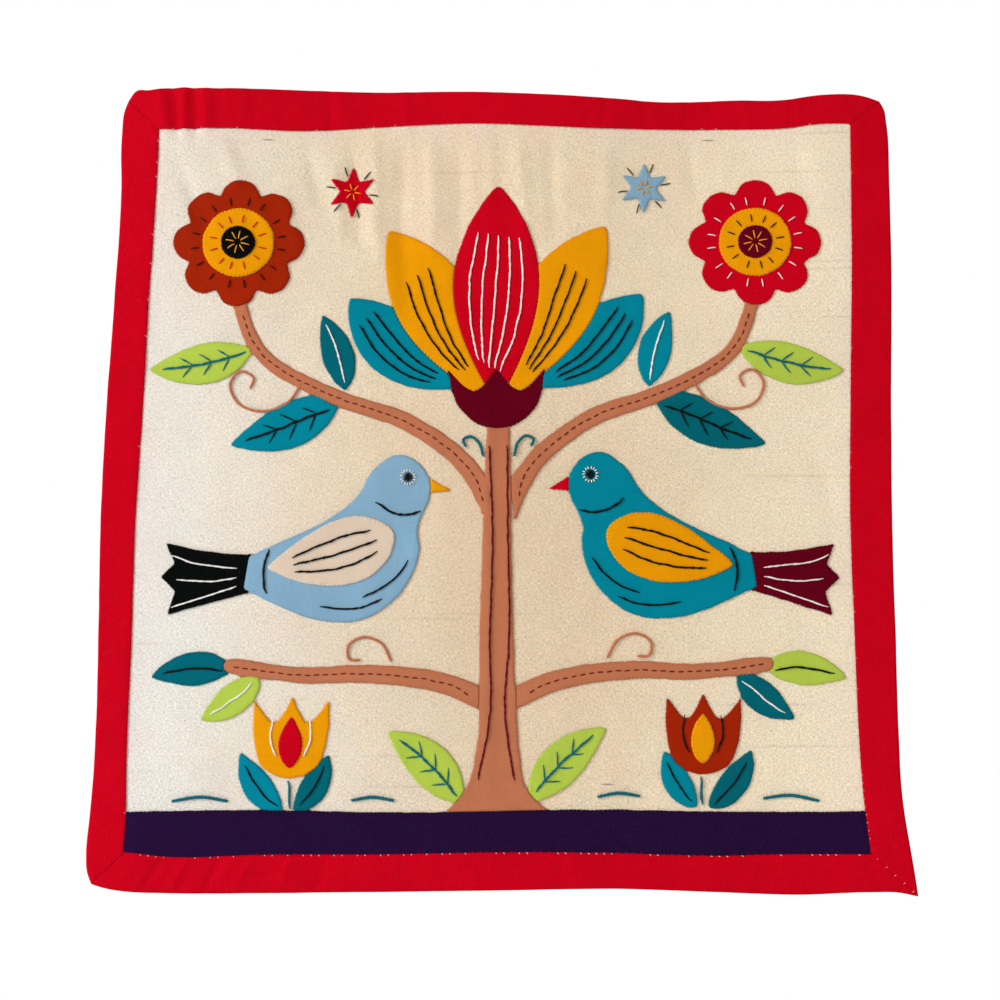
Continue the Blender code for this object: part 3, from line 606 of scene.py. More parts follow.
def halves(points):
    """A closed outline split at its two farthest points into two sides, each resampled at even shares of its
    length, so that places between them are a function of two parameters: along and across."""
    points = evenly(points, 1.2 * MM)
    gaps = np.linalg.norm(points[:, None] - points[None], axis=-1)
    i, j = sorted(np.unravel_index(gaps.argmax(), gaps.shape))
    sides = points[i : j + 1], np.concatenate([points[j:], points[: i + 1]])[::-1]
    return [straight(lengths(side), side, np.linspace(0, lengths(side)[-1], SIDE_POINTS)) for side in sides]


def from_tip(node):
    """The two sides of a sewn piece, from its tip to its base. The tip is the end that is farther up and
    out from the trunk."""
    one, other = halves(smooth_outline(node))
    reach = np.abs(one[:, 0]) + one[:, 1]
    return (one, other) if reach[0] > reach[-1] else (one[::-1], other[::-1])


# Meshes


def piece(name, points, faces, material, slot, node=None):
    """One smooth-shaded piece of the object, on the root body, in the record's slot. Its faces all have the
    same number of corners."""
    mesh = bpy.data.meshes.new(name)
    mesh.vertices.add(len(points))
    mesh.vertices.foreach_set("co", np.asarray(points, np.float32).ravel())
    mesh.loops.add(faces.size)
    mesh.loops.foreach_set("vertex_index", faces.astype(np.int32).ravel())
    mesh.polygons.add(len(faces))
    mesh.polygons.foreach_set("loop_start", np.arange(0, faces.size, faces.shape[1], dtype=np.int32))
    mesh.update(calc_edges=True)
    mesh.validate()
    mesh.shade_smooth()
    mesh.materials.append(bpy.data.materials[material])
    made = bpy.data.objects.new(name, mesh)
    bpy.context.scene.collection.objects.link(made)
    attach(made, "root")
    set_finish(made, slot)
    if node:
        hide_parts(node)
    return made


def strip_faces(rows, columns, closed_columns=False):
    """The four corners of each cell of a grid whose points are numbered row by row."""
    i = np.arange(rows - 1)[:, None]
    j = np.arange(columns if closed_columns else columns - 1)[None, :]
    after = (j + 1) % columns
    cells = [i * columns + j, i * columns + after, (i + 1) * columns + after, (i + 1) * columns + j]
    return np.stack(np.broadcast_arrays(*cells), axis=-1).reshape(-1, 4)


def filled(outline):
    """Triangles over a closed outline: rings of points just inside it, a lattice in the middle, joined by
    the triangulation that keeps them most even. Returns the points and the triangles."""
    normal = inward(outline)
    groups = [outline]
    for distance in RIM_RINGS:
        step = 1 if distance < 1 * MM else 2
        ring = (outline + normal * distance)[::step]
        fits = inside(ring, outline) & (distance_to(ring, outline) > 0.9 * distance)
        groups.append(ring[fits])
    low, high = outline.min(0), outline.max(0)
    columns = np.arange(low[0], high[0], FILL_STEP)
    rows = np.arange(low[1], high[1], FILL_STEP * 0.87)
    x, z = np.meshgrid(columns, rows)
    x = x + FILL_STEP / 2 * (np.arange(len(rows)) % 2)[:, None]
    lattice = np.stack([x.ravel(), z.ravel()], axis=1)
    lattice = lattice[inside(lattice, outline)]
    groups.append(lattice[distance_to(lattice, outline) > RIM_RINGS[-1] + FILL_STEP * 0.45])
    points = np.concatenate(groups)
    centre = points.mean(0)
    flat = ((points - centre) * 1000).tolist()
    ring = list(range(len(outline)))
    made = geometry.delaunay_2d_cdt([Vector(p) for p in flat], [], [ring], 1, 1e-6)
    return np.array([tuple(p) for p in made[0]]) / 1000 + centre, np.array([tuple(f) for f in made[2]])


def foot_of(level):
    """The height at which a sewn piece of a level begins."""
    return FIRST_LEVEL + (level - 1) * LEVEL_STEP


def sewn_height(distance, level):
    """The height of a sewn piece's face at a distance in from its edge: a quarter-round roll, then the
    turned allowance's two thicknesses, then the single cloth a little lower."""
    roll = np.sqrt(1 - (1 - np.clip(distance / ROLL, 0, 1)) ** 2)
    drop = ease(np.clip((distance - TURNED) / (2.6 * MM), 0, 1))
    return foot_of(level) + EDGE_THICK + (SEWN_THICK - EDGE_THICK) * roll - SINK * drop


def open_edges(triangles, count):
    """The directed edges that only one triangle has."""
    edges = np.concatenate([triangles[:, [0, 1]], triangles[:, [1, 2]], triangles[:, [2, 0]]])
    code, opposite = edges[:, 0] * count + edges[:, 1], edges[:, 1] * count + edges[:, 0]
    return edges[~np.isin(code, opposite)]


def add_sewn(node, level, slot):
    """One sewn piece: the filled outline at the sewn height above the ground's folds, with a flat back just
    clear of what it lies on, and a wall between the two."""
    outline = stitched_outline(node)
    points, triangles = filled(outline)
    x, z = points.T
    seed = 40 + sum(map(ord, node))
    depth = lie(x, z)
    soft = 0.10 * MM * cloudy(x, z, 9 * MM, seed) + 0.05 * MM * cloudy(x, z, 4 * MM, seed + 1)
    distance = distance_to(points, outline)
    height = sewn_height(distance, level) + soft * np.clip(distance / (2 * MM), 0, 1)
    if node == "band":
        edge = opening()
        free = np.where(inside(points, edge), distance_to(points, edge), 0)
        rising = ease(np.clip((free - 0.25 * MM) / (1.9 * MM), 0, 1))
        height = np.minimum(height, 0.90 * MM + 1.10 * MM * rising)
    count = len(points)
    a, b, c = (points[triangles[:, i]] for i in range(3))
    turned = (b - a)[:, 0] * (c - a)[:, 1] - (b - a)[:, 1] * (c - a)[:, 0] < 0
    triangles[turned] = triangles[turned][:, ::-1]
    start, end = open_edges(triangles, count).T
    first = np.stack([end, start, start + count], axis=1)
    second = np.stack([end, start + count, end + count], axis=1)
    faces = np.concatenate([triangles, triangles[:, ::-1] + count, first, second])
    both = face_and_back(x, z, depth - height, depth - foot_of(level))
    piece(f"sewn_{node}", both, faces, f"cotton_{slot}", slot, node)


def face_and_back(x, z, face, back):
    """The points of a cloth's face, then those of its back."""
    return np.concatenate([np.stack([x, y, z], axis=1) for y in (face, back)])


def thread_mesh(paths, radius, sides=5):
    """Short threads as tubes, all at once: paths is (threads, places along each, 3), and the radius swells
    from both ends by a sine. Returns points and faces, with each end closed."""
    count, places, _ = paths.shape
    along = unit(np.gradient(paths, axis=1))
    side = unit(np.cross(along, np.array([0.0, -1.0, 0.0])))
    up = np.cross(along, side)
    swell = 0.60 + 0.40 * np.sin(np.pi * np.linspace(0.04, 0.96, places)) ** 0.5
    radius = np.broadcast_to(np.asarray(radius, float).reshape(-1, 1), (count, 1)) * swell
    turn = np.arange(sides) * 2 * np.pi / sides
    ring = side[:, :, None] * np.cos(turn)[:, None] + up[:, :, None] * np.sin(turn)[:, None]
    points = paths[:, :, None] + ring * radius[:, :, None, None]
    one = strip_faces(places, sides, True)
    ends = np.array([np.arange(sides)[::-1], np.arange(sides) + sides * (places - 1)])
    offsets = np.arange(count)[:, None, None] * places * sides
    quads = (one[None] + offsets).reshape(-1, 4)
    caps = (ends[None] + offsets).reshape(-1, sides)
    fans = np.concatenate([caps[:, [0, k, k + 1]] for k in range(1, sides - 1)])
    triangles = np.concatenate([quads[:, [0, 1, 2]], quads[:, [0, 2, 3]], fans])
    return points.reshape(-1, 3), triangles


class ThreadBox:
    """Gathers threads of one purpose by colour, and makes one piece of each colour."""

    def __init__(self):
        self.threads = {}

    def add(self, slot, paths, radius, sides=5):
        if len(paths):
            self.threads.setdefault(slot, []).append(thread_mesh(paths, radius, sides))

    def make(self, prefix):
        for slot, parts in sorted(self.threads.items()):
            starts = np.cumsum([0, *(len(points) for points, _ in parts)])
            points = np.concatenate([points for points, _ in parts])
            faces = np.concatenate([triangles + start for (_, triangles), start in zip(parts, starts)])
            piece(f"{prefix}_{slot}", points, faces, f"thread_{slot}", slot)


# Threads


def nodes_like(start):
    return [node for node in LEVELS if node.startswith(start)]


def level_top(level):
    """The height of the face that a line is stitched on: the ground's, or a sewn piece's."""
    return foot_of(level) + SEWN_THICK - SINK / 2 if level else GROUND_HALF


def on_cloth(flat, height):
    """(x, z) places raised to a height in front of the cloth's middle."""
    x, z = flat[..., 0], flat[..., 1]
    return np.stack([x, lie(x, z) - height, z], axis=-1)


def over_edge(edge, inwards, ahead, stops, base=0.0):
    """Stitches over an edge, one at each of its places, through the stops, with heights from the base."""
    paths = [
        on_cloth(edge + inwards * (into * MM) + ahead * (slant * MM), base + height * MM)
        for into, slant, height in stops
    ]
    return np.stack(paths, axis=1)


def whip_stitches(box, node, level, slot):
    """A small slanted stitch over the edge at every third point of the outline: from the cloth below, over
    the roll, and down into the piece. Behind the ground the thread slants on to the next stitch."""
    outline = stitched_outline(node)
    edge, normal = outline[::3], inward(outline)[::3]
    if node == "band":
        free = inside(edge, opening())
        edge, normal = edge[free], normal[free]
    ahead = -turned_left(normal)
    vary = np.random.default_rng(sum(map(ord, node))).uniform(0.7, 1.35, (len(edge), 1))
    box.add(slot, over_edge(edge, normal * vary, ahead, WHIP, foot_of(level)), SEWING_RADIUS)
    if level == 1:
        box.add(slot, over_edge(edge, normal * vary, ahead, WHIP_BEHIND), BEHIND_RADIUS, 3)


def stem_line(box, slot, line, width, height, kind):
    """A line of stitches along (x, z) points. Stem: each stitch overlaps half of the next, slanting from one
    side of the line to the other. Dash: stitches with gaps. Couch: two twisted cords held by small cross
    stitches."""
    line = curve(line, 0.4 * MM)
    along = lengths(line)
    total = along[-1]
    heading = unit(np.gradient(line, axis=0))

    def at(distance, aside):
        across = turned_left(straight(along, heading, distance))
        return straight(along, line, distance) + across * np.asarray(aside)[..., None]

    thick = width * MM
    if kind == "couch":
        distance = np.linspace(0, total, max(8, round(total / (0.4 * MM))))
        for phase in (0.0, np.pi):
            twist = distance / (0.95 * thick) * np.pi + phase
            aside, rise = 0.20 * thick * np.cos(twist), thick * (0.32 + 0.16 * np.sin(twist))
            box.add(slot, on_cloth(at(distance, aside), height + rise)[None], thick * 0.29, 6)
        over = np.arange(2.0 * MM, total - 1 * MM, 4.2 * MM)
        steps = np.array([-0.55, -0.25, 0.25, 0.55]) * thick
        rise = np.array([0.05, 0.66, 0.66, 0.05]) * thick
        place = at(over[:, None] + 0.3 * steps, np.broadcast_to(steps, (len(over), 4)))
        box.add(slot, on_cloth(place, height + rise), CROSS_RADIUS)
        return
    length, pace, slant, low, bulge, stout = STITCHES[kind]
    length, pace = length * MM, pace * MM
    middles = np.arange(length / 2, max(total - length / 2, length / 2 + 1e-6), pace)
    vary = np.random.default_rng(int(total * 1e6) % 9973).uniform(-1, 1, (2, len(middles)))
    places = np.linspace(-0.5, 0.5, 6)
    distance = middles[:, None] + length * places * (1 + 0.08 * vary[0][:, None])
    wander = cloudy(distance, np.full_like(distance, total), 5 * MM, 51) * 0.28 * MM
    aside = thick * (slant * np.sin(np.pi * places) + 0.14 * vary[1][:, None]) + wander
    rise = thick * (low + bulge * np.cos(np.pi * places) ** 0.6) - 0.03 * MM
    box.add(slot, on_cloth(at(distance, aside), height + rise), thick * stout)


def spokes(box, slot, x, z, inner, outer, count, height, mirrored):
    """Straight stitches round a centre, from the inner radius to the outer one, all given in mm."""
    turn = np.arange(count) * 2 * np.pi / count + 0.2
    turn = turn + np.random.default_rng(count).uniform(-0.05, 0.05, count)
    far = np.linspace(inner, outer, 5)
    flat = np.stack([x + np.cos(turn)[:, None] * far, z + np.sin(turn)[:, None] * far], axis=-1) * MM
    placed = hand_cut(flat.reshape(-1, 2) * ((-1, 1) if mirrored else (1, 1))).reshape(flat.shape)
    rise = 0.45 * MM * np.array([0.0, 0.85, 1.0, 0.85, 0.0])
    box.add(slot, on_cloth(placed, height + rise), SPOKE_RADIUS)


# Materials


class Graph:
    """A material's nodes, added and joined in short calls."""

    def __init__(self, name):
        made = bpy.data.materials.new(name)
        made.use_nodes = True
        self.material, self.tree = made, made.node_tree
        self.shader = self.tree.nodes["Principled BSDF"]
        self.place = self.tree.nodes.new("ShaderNodeTexCoord").outputs["Object"]

    def node(self, kind, inputs=(), **settings):
        made = self.tree.nodes.new(f"ShaderNode{kind}")
        for key, value in settings.items():
            setattr(made, key, value)
        for key, value in dict(inputs).items():
            self.join(value, made.inputs[key])
        return made

    def join(self, value, socket):
        if isinstance(value, bpy.types.NodeSocket):
            self.tree.links.new(value, socket)
        else:
            socket.default_value = value

    def set(self, **values):
        """Joins values to the shader, with a low line for each space in a socket's name."""
        for name, value in values.items():
            self.join(value, self.shader.inputs[name.replace("_", " ")])

    def math(self, operation, a, b=0.0, c=0.0):
        return self.node("Math", {0: a, 1: b, 2: c}, operation=operation).outputs[0]

    def noise(self, scale, stretch=(1, 1, 1), detail=2.0, rough=0.5):
        moved = self.node("Mapping", {"Vector": self.place, "Scale": stretch}).outputs[0]
        made = self.node("TexNoise", {"Vector": moved, "Scale": scale, "Detail": detail, "Roughness": rough})
        return made.outputs[0]

    def spread(self, value, low, high, to_low=0.0, to_high=1.0):
        inputs = {"Value": value, "From Min": low, "From Max": high, "To Min": to_low, "To Max": to_high}
        return self.node("MapRange", inputs, clamp=True).outputs[0]

    def mixed(self, share, one, other, blend="MIX"):
        made = self.tree.nodes.new("ShaderNodeMix")
        made.data_type, made.blend_type = "RGBA", blend
        self.join(share, made.inputs[0])
        self.join(one, made.inputs[6])
        self.join(other, made.inputs[7])
        return made.outputs[2]

    def bump(self, height, distance, strength, below=None):
        inputs = {"Height": height, "Distance": distance, "Strength": strength}
        if below is not None:
            inputs["Normal"] = below
        return self.node("Bump", inputs).outputs[0]


def weave(graph, pitch):
    """The height of a plain weave: threads both ways that pass over and under each other, as the product of
    two sines, wandering a little as hand-fed threads do."""
    wander = graph.noise(1 / (9 * MM), detail=1.0)
    parts = graph.node("SeparateXYZ", {0: graph.place})
    waves = []
    for axis in ("X", "Z"):
        shifted = graph.math("MULTIPLY_ADD", wander, 1.2 * MM, parts.outputs[axis])
        waves.append(graph.math("SINE", graph.math("MULTIPLY", shifted, math.pi / pitch)))
    return graph.math("MULTIPLY", *waves)


def slubs(graph, pitch, length):
    """Thread by thread variation: noise drawn out along the warp and along the weft, added."""
    warp = graph.noise(1.0, (0.7 / pitch, 1, 1 / length), 3.0)
    weft = graph.noise(1.0, (1 / length, 1, 0.7 / pitch), 3.0)
    return graph.math("ADD", warp, weft)


def shade(colour, by):
    return tuple(min(1.0, part * by) for part in colour) + (1.0,)


def cotton(slot):
    """Plain dyed cotton: fine weave, thread variation, faint mottling and soft dimples."""
    graph = Graph(f"cotton_{slot}")
    colour = colour_of(slot)
    pitch = sizes().cotton_pitch
    threads = slubs(graph, pitch, 14 * MM)
    mottled = graph.noise(38.0, detail=4.0, rough=0.6)
    tone = graph.mixed(graph.spread(threads, 0.75, 1.25), shade(colour, 0.94), shade(colour, 1.05))
    tone = graph.mixed(graph.spread(mottled, 0.3, 0.7), graph.mixed(0.16, tone, shade(colour, 0.55)), tone)
    fuzz = graph.noise(2600.0, detail=1.0)
    lint = graph.math("MULTIPLY", graph.spread(fuzz, 0.66, 0.80), 0.10)
    tone = graph.mixed(lint, tone, tuple(0.5 * part + 0.35 for part in colour) + (1.0,))
    dimples = graph.bump(graph.noise(170.0, detail=3.0, rough=0.55), 1.0 * MM, 0.28)
    lines = graph.bump(threads, 0.12 * MM, 0.35, dimples)
    graph.set(Base_Color=tone, Normal=graph.bump(weave(graph, pitch), 0.05 * MM, 0.5, lines))
    finish_cloth(graph, colour, 0.9, 0.02, 0.04)


def natural_cotton():
    """Undyed handwoven cotton: a coarser weave with slubs, seed flecks, stray dark threads, and warmer and
    cooler patches, partly painted light and shade."""
    graph = Graph("ground_natural")
    colour = colour_of("natural")
    pitch = sizes().ground_pitch
    crossing = weave(graph, pitch)
    threads = slubs(graph, pitch, 7 * MM)
    tone = graph.mixed(graph.spread(threads, 0.70, 1.30), shade(colour, 0.83), shade(colour, 1.12))
    # Random patches of tone that also stand in for light on the cloth: the pinker ones are painted warm shade
    # and the bluer one is painted cool light.
    for scale, tint, most in (
        (13.0, (0.95, 0.88, 0.87), 0.85),
        (34.0, (0.97, 0.84, 0.83), 0.70),
        (52.0, (0.85, 0.88, 0.93), 0.55),
        (105.0, (1.02, 0.92, 0.89), 0.55),
    ):
        patch_and_painted_light = tuple(part * by for part, by in zip(colour, tint)) + (1.0,)
        cloud = graph.spread(graph.noise(scale, detail=3.0, rough=0.6), 0.42, 0.72, 0.0, most)
        tone = graph.mixed(cloud, tone, patch_and_painted_light)
    # Painted cool light: the cloth turns paler and cooler towards the left, where the cool window light falls.
    side = graph.node("SeparateXYZ", {0: graph.place})
    drift = graph.math("MULTIPLY_ADD", graph.noise(7.0, detail=3.0), 0.14, side.outputs["X"])
    left = graph.math("MULTIPLY_ADD", side.outputs["Z"], 0.15, graph.math("ADD", drift, 0.035))
    tone = graph.mixed(graph.spread(left, -0.15, 0.03, 0.72, 0.0), tone, (0.81, 0.785, 0.745, 1.0))
    # Painted warm light: the cloth turns warmer and paler towards the right.
    tone = graph.mixed(graph.spread(drift, 0.12, 0.26, 0.0, 0.65), tone, (0.97, 0.84, 0.62, 1.0))
    # Painted shade: the cloth turns darker and warmer round its middle, between its lit sides.
    low = graph.math("MULTIPLY_ADD", side.outputs["Z"], 0.8, 0.216)
    low_square = graph.math("MULTIPLY", low, low)
    square = graph.math("MULTIPLY_ADD", side.outputs["X"], side.outputs["X"], low_square)
    tone = graph.mixed(graph.spread(square, 0.0004, 0.0150, 0.55, 0.0), tone, (0.74, 0.550, 0.365, 1.0))
    # Painted pink glow beside the border's inner edge: red light from the border, laid over the border's cast
    # shadow.
    blush = graph.node("Attribute", attribute_name="blush").outputs["Fac"]
    blush = graph.math("MULTIPLY", blush, graph.spread(graph.noise(55.0), 0.35, 0.65, 0.10, 0.60))
    tone = graph.mixed(blush, tone, (0.86, 0.66, 0.60, 1.0))
    # Thread speckle, times a painted shade in the weave's hollows: darker where the weave lies low.
    speckle_and_weave_shade = graph.spread(slubs(graph, 0.43 * MM, 1.5 * MM), 0.70, 1.30, 0.71, 1.27)
    speckle_and_weave_shade = graph.math("MULTIPLY", speckle_and_weave_shade, graph.spread(crossing, -1.0, 1.0, 0.84, 1.12))
    grey_scale = graph.node("CombineColor", {0: speckle_and_weave_shade, 1: speckle_and_weave_shade, 2: speckle_and_weave_shade}).outputs[0]
    tone = graph.mixed(1.0, tone, grey_scale, "MULTIPLY")
    for stretch, size, shown, most, dark in (
        ((190, 190, 190), 0.042, 0.66, 0.62, (0.26, 0.18, 0.10, 1)),
        ((55, 190, 420), 0.060, 0.76, 0.40, (0.44, 0.34, 0.22, 1)),
        ((420, 190, 50), 0.060, 0.80, 0.35, (0.44, 0.34, 0.22, 1)),
        ((16, 60, 130), 0.032, 0.80, 0.70, (0.18, 0.14, 0.10, 1)),
        ((5, 60, 180), 0.080, 0.72, 0.20, (0.42, 0.30, 0.18, 1)),
    ):
        moved = graph.node("Mapping", {"Vector": graph.place, "Scale": stretch}).outputs[0]
        cells = graph.node("TexVoronoi", {"Vector": moved, "Scale": 1.0})
        spot = graph.spread(cells.outputs["Distance"], size, size * 2.6, most, 0.0)
        chosen = graph.node("SeparateColor", {0: cells.outputs["Color"]}).outputs[0]
        some = graph.spread(chosen, shown, shown + 0.02)
        tone = graph.mixed(graph.math("MULTIPLY", spot, some), tone, dark)
    dimples = graph.bump(graph.noise(95.0, detail=4.0, rough=0.6), 1.8 * MM, 0.40)
    lines = graph.bump(threads, 0.22 * MM, 0.6, dimples)
    graph.set(Base_Color=tone, Normal=graph.bump(crossing, 0.15 * MM, 0.9, lines))
    finish_cloth(graph, colour, 0.95, 0.05, 0.05)


def thread(slot):
    """Mercerised sewing or embroidery cotton: fine fibres and a soft shine. White thread is paler than white
    cloth."""
    graph = Graph(f"thread_{slot}")
    colour = colour_of(slot)
    if slot == "white":
        colour = tuple(0.45 * part + 0.47 for part in colour)
    fibres = graph.noise(1500.0, detail=2.0)
    tone = graph.mixed(graph.spread(fibres, 0.3, 0.7), shade(colour, 0.80), shade(colour, 1.30))
    graph.set(Base_Color=tone, Normal=graph.bump(fibres, 0.12 * MM, 0.6))
    finish_cloth(graph, colour, 0.6, 0.12, 0.08)


def finish_cloth(graph, colour, roughness, specular, sheen):
    """The same everywhere on the cloth, so set on the shader's own sockets."""
    graph.set(Roughness=roughness, Metallic=0.0, Specular_IOR_Level=specular)
    graph.set(Sheen_Weight=sheen, Sheen_Roughness=0.5, Sheen_Tint=shade(colour, 1.0))


# Ground and border


def shares(step, fine):
    """Places along a side as shares of its length, closer together near both corners."""
    near = np.linspace(0, CORNER_REACH, round(CORNER_REACH / fine), endpoint=False)
    count = round((SIDE_LENGTH - 2 * CORNER_REACH) / step) + 1
    middle = np.linspace(CORNER_REACH, SIDE_LENGTH - CORNER_REACH, count)
    return np.concatenate([near, middle, SIDE_LENGTH - near[::-1]]) / SIDE_LENGTH


def side_lines(side, at_shares):
    """The outer and inner edge of one side of the border, as points at shares of its length."""
    start, end = SIDE_ENDS[side]
    upright = side in ("left", "right")
    axis = int(upright)
    along, outer, inner = np.array(EDGES[side]).T * MM
    lines = []
    for corners, values in ((OUTER_CORNERS, outer), (INNER_CORNERS, inner)):
        first, last = corners[start][axis], corners[end][axis]
        at = first + (last - first) * at_shares
        level = through(along, values, at)
        for place, corner in ((0, start), (1, end)):
            near = np.abs(at_shares - place) < 1e-9
            level[near] = corners[corner][1 - axis]
        lines.append(np.stack([level, at] if upright else [at, level], axis=1))
    return lines


def add_ground():
    """The ground: a grid spanned by its four edges, which run inside the border's fold, with a face and a
    back half a thickness to each side of the cloth's middle, joined round the edge."""
    at = shares(GROUND_STEP, GROUND_STEP)
    share = GROUND_INSET / BORDER_WIDTH
    edge = {}
    for side in EDGES:
        outer, inner = side_lines(side, at)
        edge[side] = outer + (inner - outer) * share
    a, b = at[:, None, None], at[None, :, None]
    flat = (1 - b) * edge["bottom"][:, None] + b * edge["top"][:, None]
    flat = flat + (1 - a) * edge["left"][None] + a * edge["right"][None]
    flat -= (1 - a) * (1 - b) * edge["bottom"][0] + a * (1 - b) * edge["bottom"][-1]
    flat -= (1 - a) * b * edge["top"][0] + a * b * edge["top"][-1]
    n = len(at)
    x, z = flat[..., 0].ravel(), flat[..., 1].ravel()
    depth = lie(x, z)
    places = np.stack([x, z], axis=1)
    points = face_and_back(x, z, depth - GROUND_HALF - puckers(places), depth + GROUND_HALF)
    cells = strip_faces(n, n)
    number = np.arange(n * n).reshape(n, n)
    rim = np.concatenate([number[0], number[1:, -1], number[-1, -2::-1], number[-2:0:-1, 0]])
    after = np.roll(rim, -1)
    wall = np.stack([rim, after, after + n * n, rim + n * n], axis=1)
    faces = np.concatenate([cells[:, ::-1], cells + n * n, wall])
    made = piece("ground_cloth", points, faces, "ground_natural", "natural", "ground")
    # How near each point lies to the border's inner edge, for the painted pink glow from the border.
    blush = np.exp(-distance_to(places, opening()[::3]) / (7 * MM))
    held = made.data.attributes.new("blush", "FLOAT", "POINT")
    held.data.foreach_set("value", np.tile(blush, 2).astype(np.float32))


def puckers(points):
    """The ground's rise beside the sewn edges, where the stitches draw it in: a shallow trough along each
    edge and small dips away from it, never above the plain cloth."""
    edges = np.concatenate([smooth_outline(node)[::4] for node, level, _ in SEWN if level == 1])
    nearest = np.full(len(points), 1.0)
    for start in range(0, len(points), 1500):
        gap = points[start : start + 1500, None] - edges[None]
        nearest[start : start + 1500] = np.sqrt((gap * gap).sum(-1).min(1))
    ripple = 1 + 0.6 * cloudy(*points.T, 6.0 * MM, 21) + 0.4 * cloudy(*points.T, 3.4 * MM, 22)
    return -MM * (0.16 * ripple * np.exp(-nearest / (7 * MM)) + 0.12 * np.exp(-((nearest / (1.6 * MM)) ** 2)))


def border_section():
    """The border's section from its sewn edge, over the face, round the fold and to the turned edge, as
    (distance in from the fold, height) of its outside and of its inside. The face falls towards the sewn
    edge."""
    wide = [19.1, 17.5, 15.0, 12.0, 9.0, 6.0, 3.6, 2.2]
    outside = [(20.5, 1.06), (20.42, 1.30), (20.1, 1.47)]
    outside += [(w, 1.90 - 0.40 * (w / 20.5) ** 2) for w in wide]
    turn = np.radians(np.linspace(90, -90, 9))
    outside += [(1.45 - 1.45 * math.cos(t), 1.90 * math.sin(t)) for t in turn]
    outside += [(w, -1.90) for w in (2.6, 5.0, 7.6, 9.0)] + [(9.4, -1.75), (9.5, -1.35)]
    inside = [(w, 0.95) for w in (20.5, 20.4, 20.0, *wide)]
    inside += [(1.60 - 0.50 * math.cos(t), 0.95 * math.sin(t)) for t in turn]
    inside += [(w, -0.95) for w in (2.6, 5.0, 7.6, 9.0, 9.4, 9.5)]
    return np.array(outside) * MM, np.array(inside) * MM


def add_border(side):
    """One side of the border: the folded section carried from mitre to mitre, drawn in at each slip stitch,
    thicker over its turned allowance, and dipping into the seam of each mitre."""
    at = shares(BORDER_STEP, CORNER_STEP)
    outer, inner = side_lines(side, at)
    along = at * SIDE_LENGTH
    from_mitre = np.minimum(along, SIDE_LENGTH - along)
    seam = np.exp(-from_mitre / (1.1 * MM))
    slip = np.cos(2 * np.pi * along / sizes().slip_spacing)
    count = len(at)
    rings = []
    for number, section in enumerate(border_section()):
        distance, height = section[:, None, 0], section[:, None, 1]
        share = distance / BORDER_WIDTH
        flat = outer[None] + (inner - outer)[None] * share[..., None]
        x, z = flat[..., 0], flat[..., 1]
        raised = np.broadcast_to(height, x.shape).copy()
        if number == 0:
            front = np.clip(height / (0.4 * MM), 0, 1)
            near_edge = np.exp(-(BORDER_WIDTH - distance) / (1.6 * MM))
            drawn_in = 0.5 + 0.5 * slip
            raised -= front * near_edge * 0.26 * MM * drawn_in
            raised -= front * 0.16 * MM * ease(np.clip((BORDER_WIDTH - distance - TURNED) / (3 * MM), 0, 1))
            raised -= front * 0.28 * MM * seam
            raised += front * MM * (0.24 * cloudy(x, z, 11 * MM, 30) + 0.10 * cloudy(x, z, 6 * MM, 31))
            push = near_edge * (0.20 * MM * drawn_in + 0.14 * MM * cloudy(x, z, 6 * MM, 33)) * front
            flat = flat - (inner - outer)[None] / BORDER_WIDTH * push[..., None]
            x, z = flat[..., 0], flat[..., 1]
        rings.append(np.stack([x, lie(x, z) - raised, z], axis=-1))
    outside, inside_ring = rings
    loop = np.concatenate([outside, inside_ring[::-1]])
    rows = len(loop)
    faces = strip_faces(count, rows, True)
    points = loop.transpose(1, 0, 2).reshape(-1, 3)
    half = len(outside)
    k = np.arange(half - 1)
    cap = np.stack([k, k + 1, rows - 2 - k, rows - 1 - k], axis=1)
    ends = np.concatenate([cap, (cap + (count - 1) * rows)[:, ::-1]])
    faces = np.concatenate([faces, ends[:, ::-1]])
    if signed_volume(points, faces) < 0:
        faces = faces[:, ::-1]
    piece(f"border_cloth_{side}", points, faces, "cotton_red", "red", f"border_{side}")


def signed_volume(points, faces):
    """Positive where the faces of a closed mesh point outwards."""
    a, b, c, d = (points[faces[:, i]] for i in range(4))
    one = np.einsum("ij,ij->i", a, np.cross(b, c))
    other = np.einsum("ij,ij->i", a, np.cross(c, d))
    return float((one + other).sum())


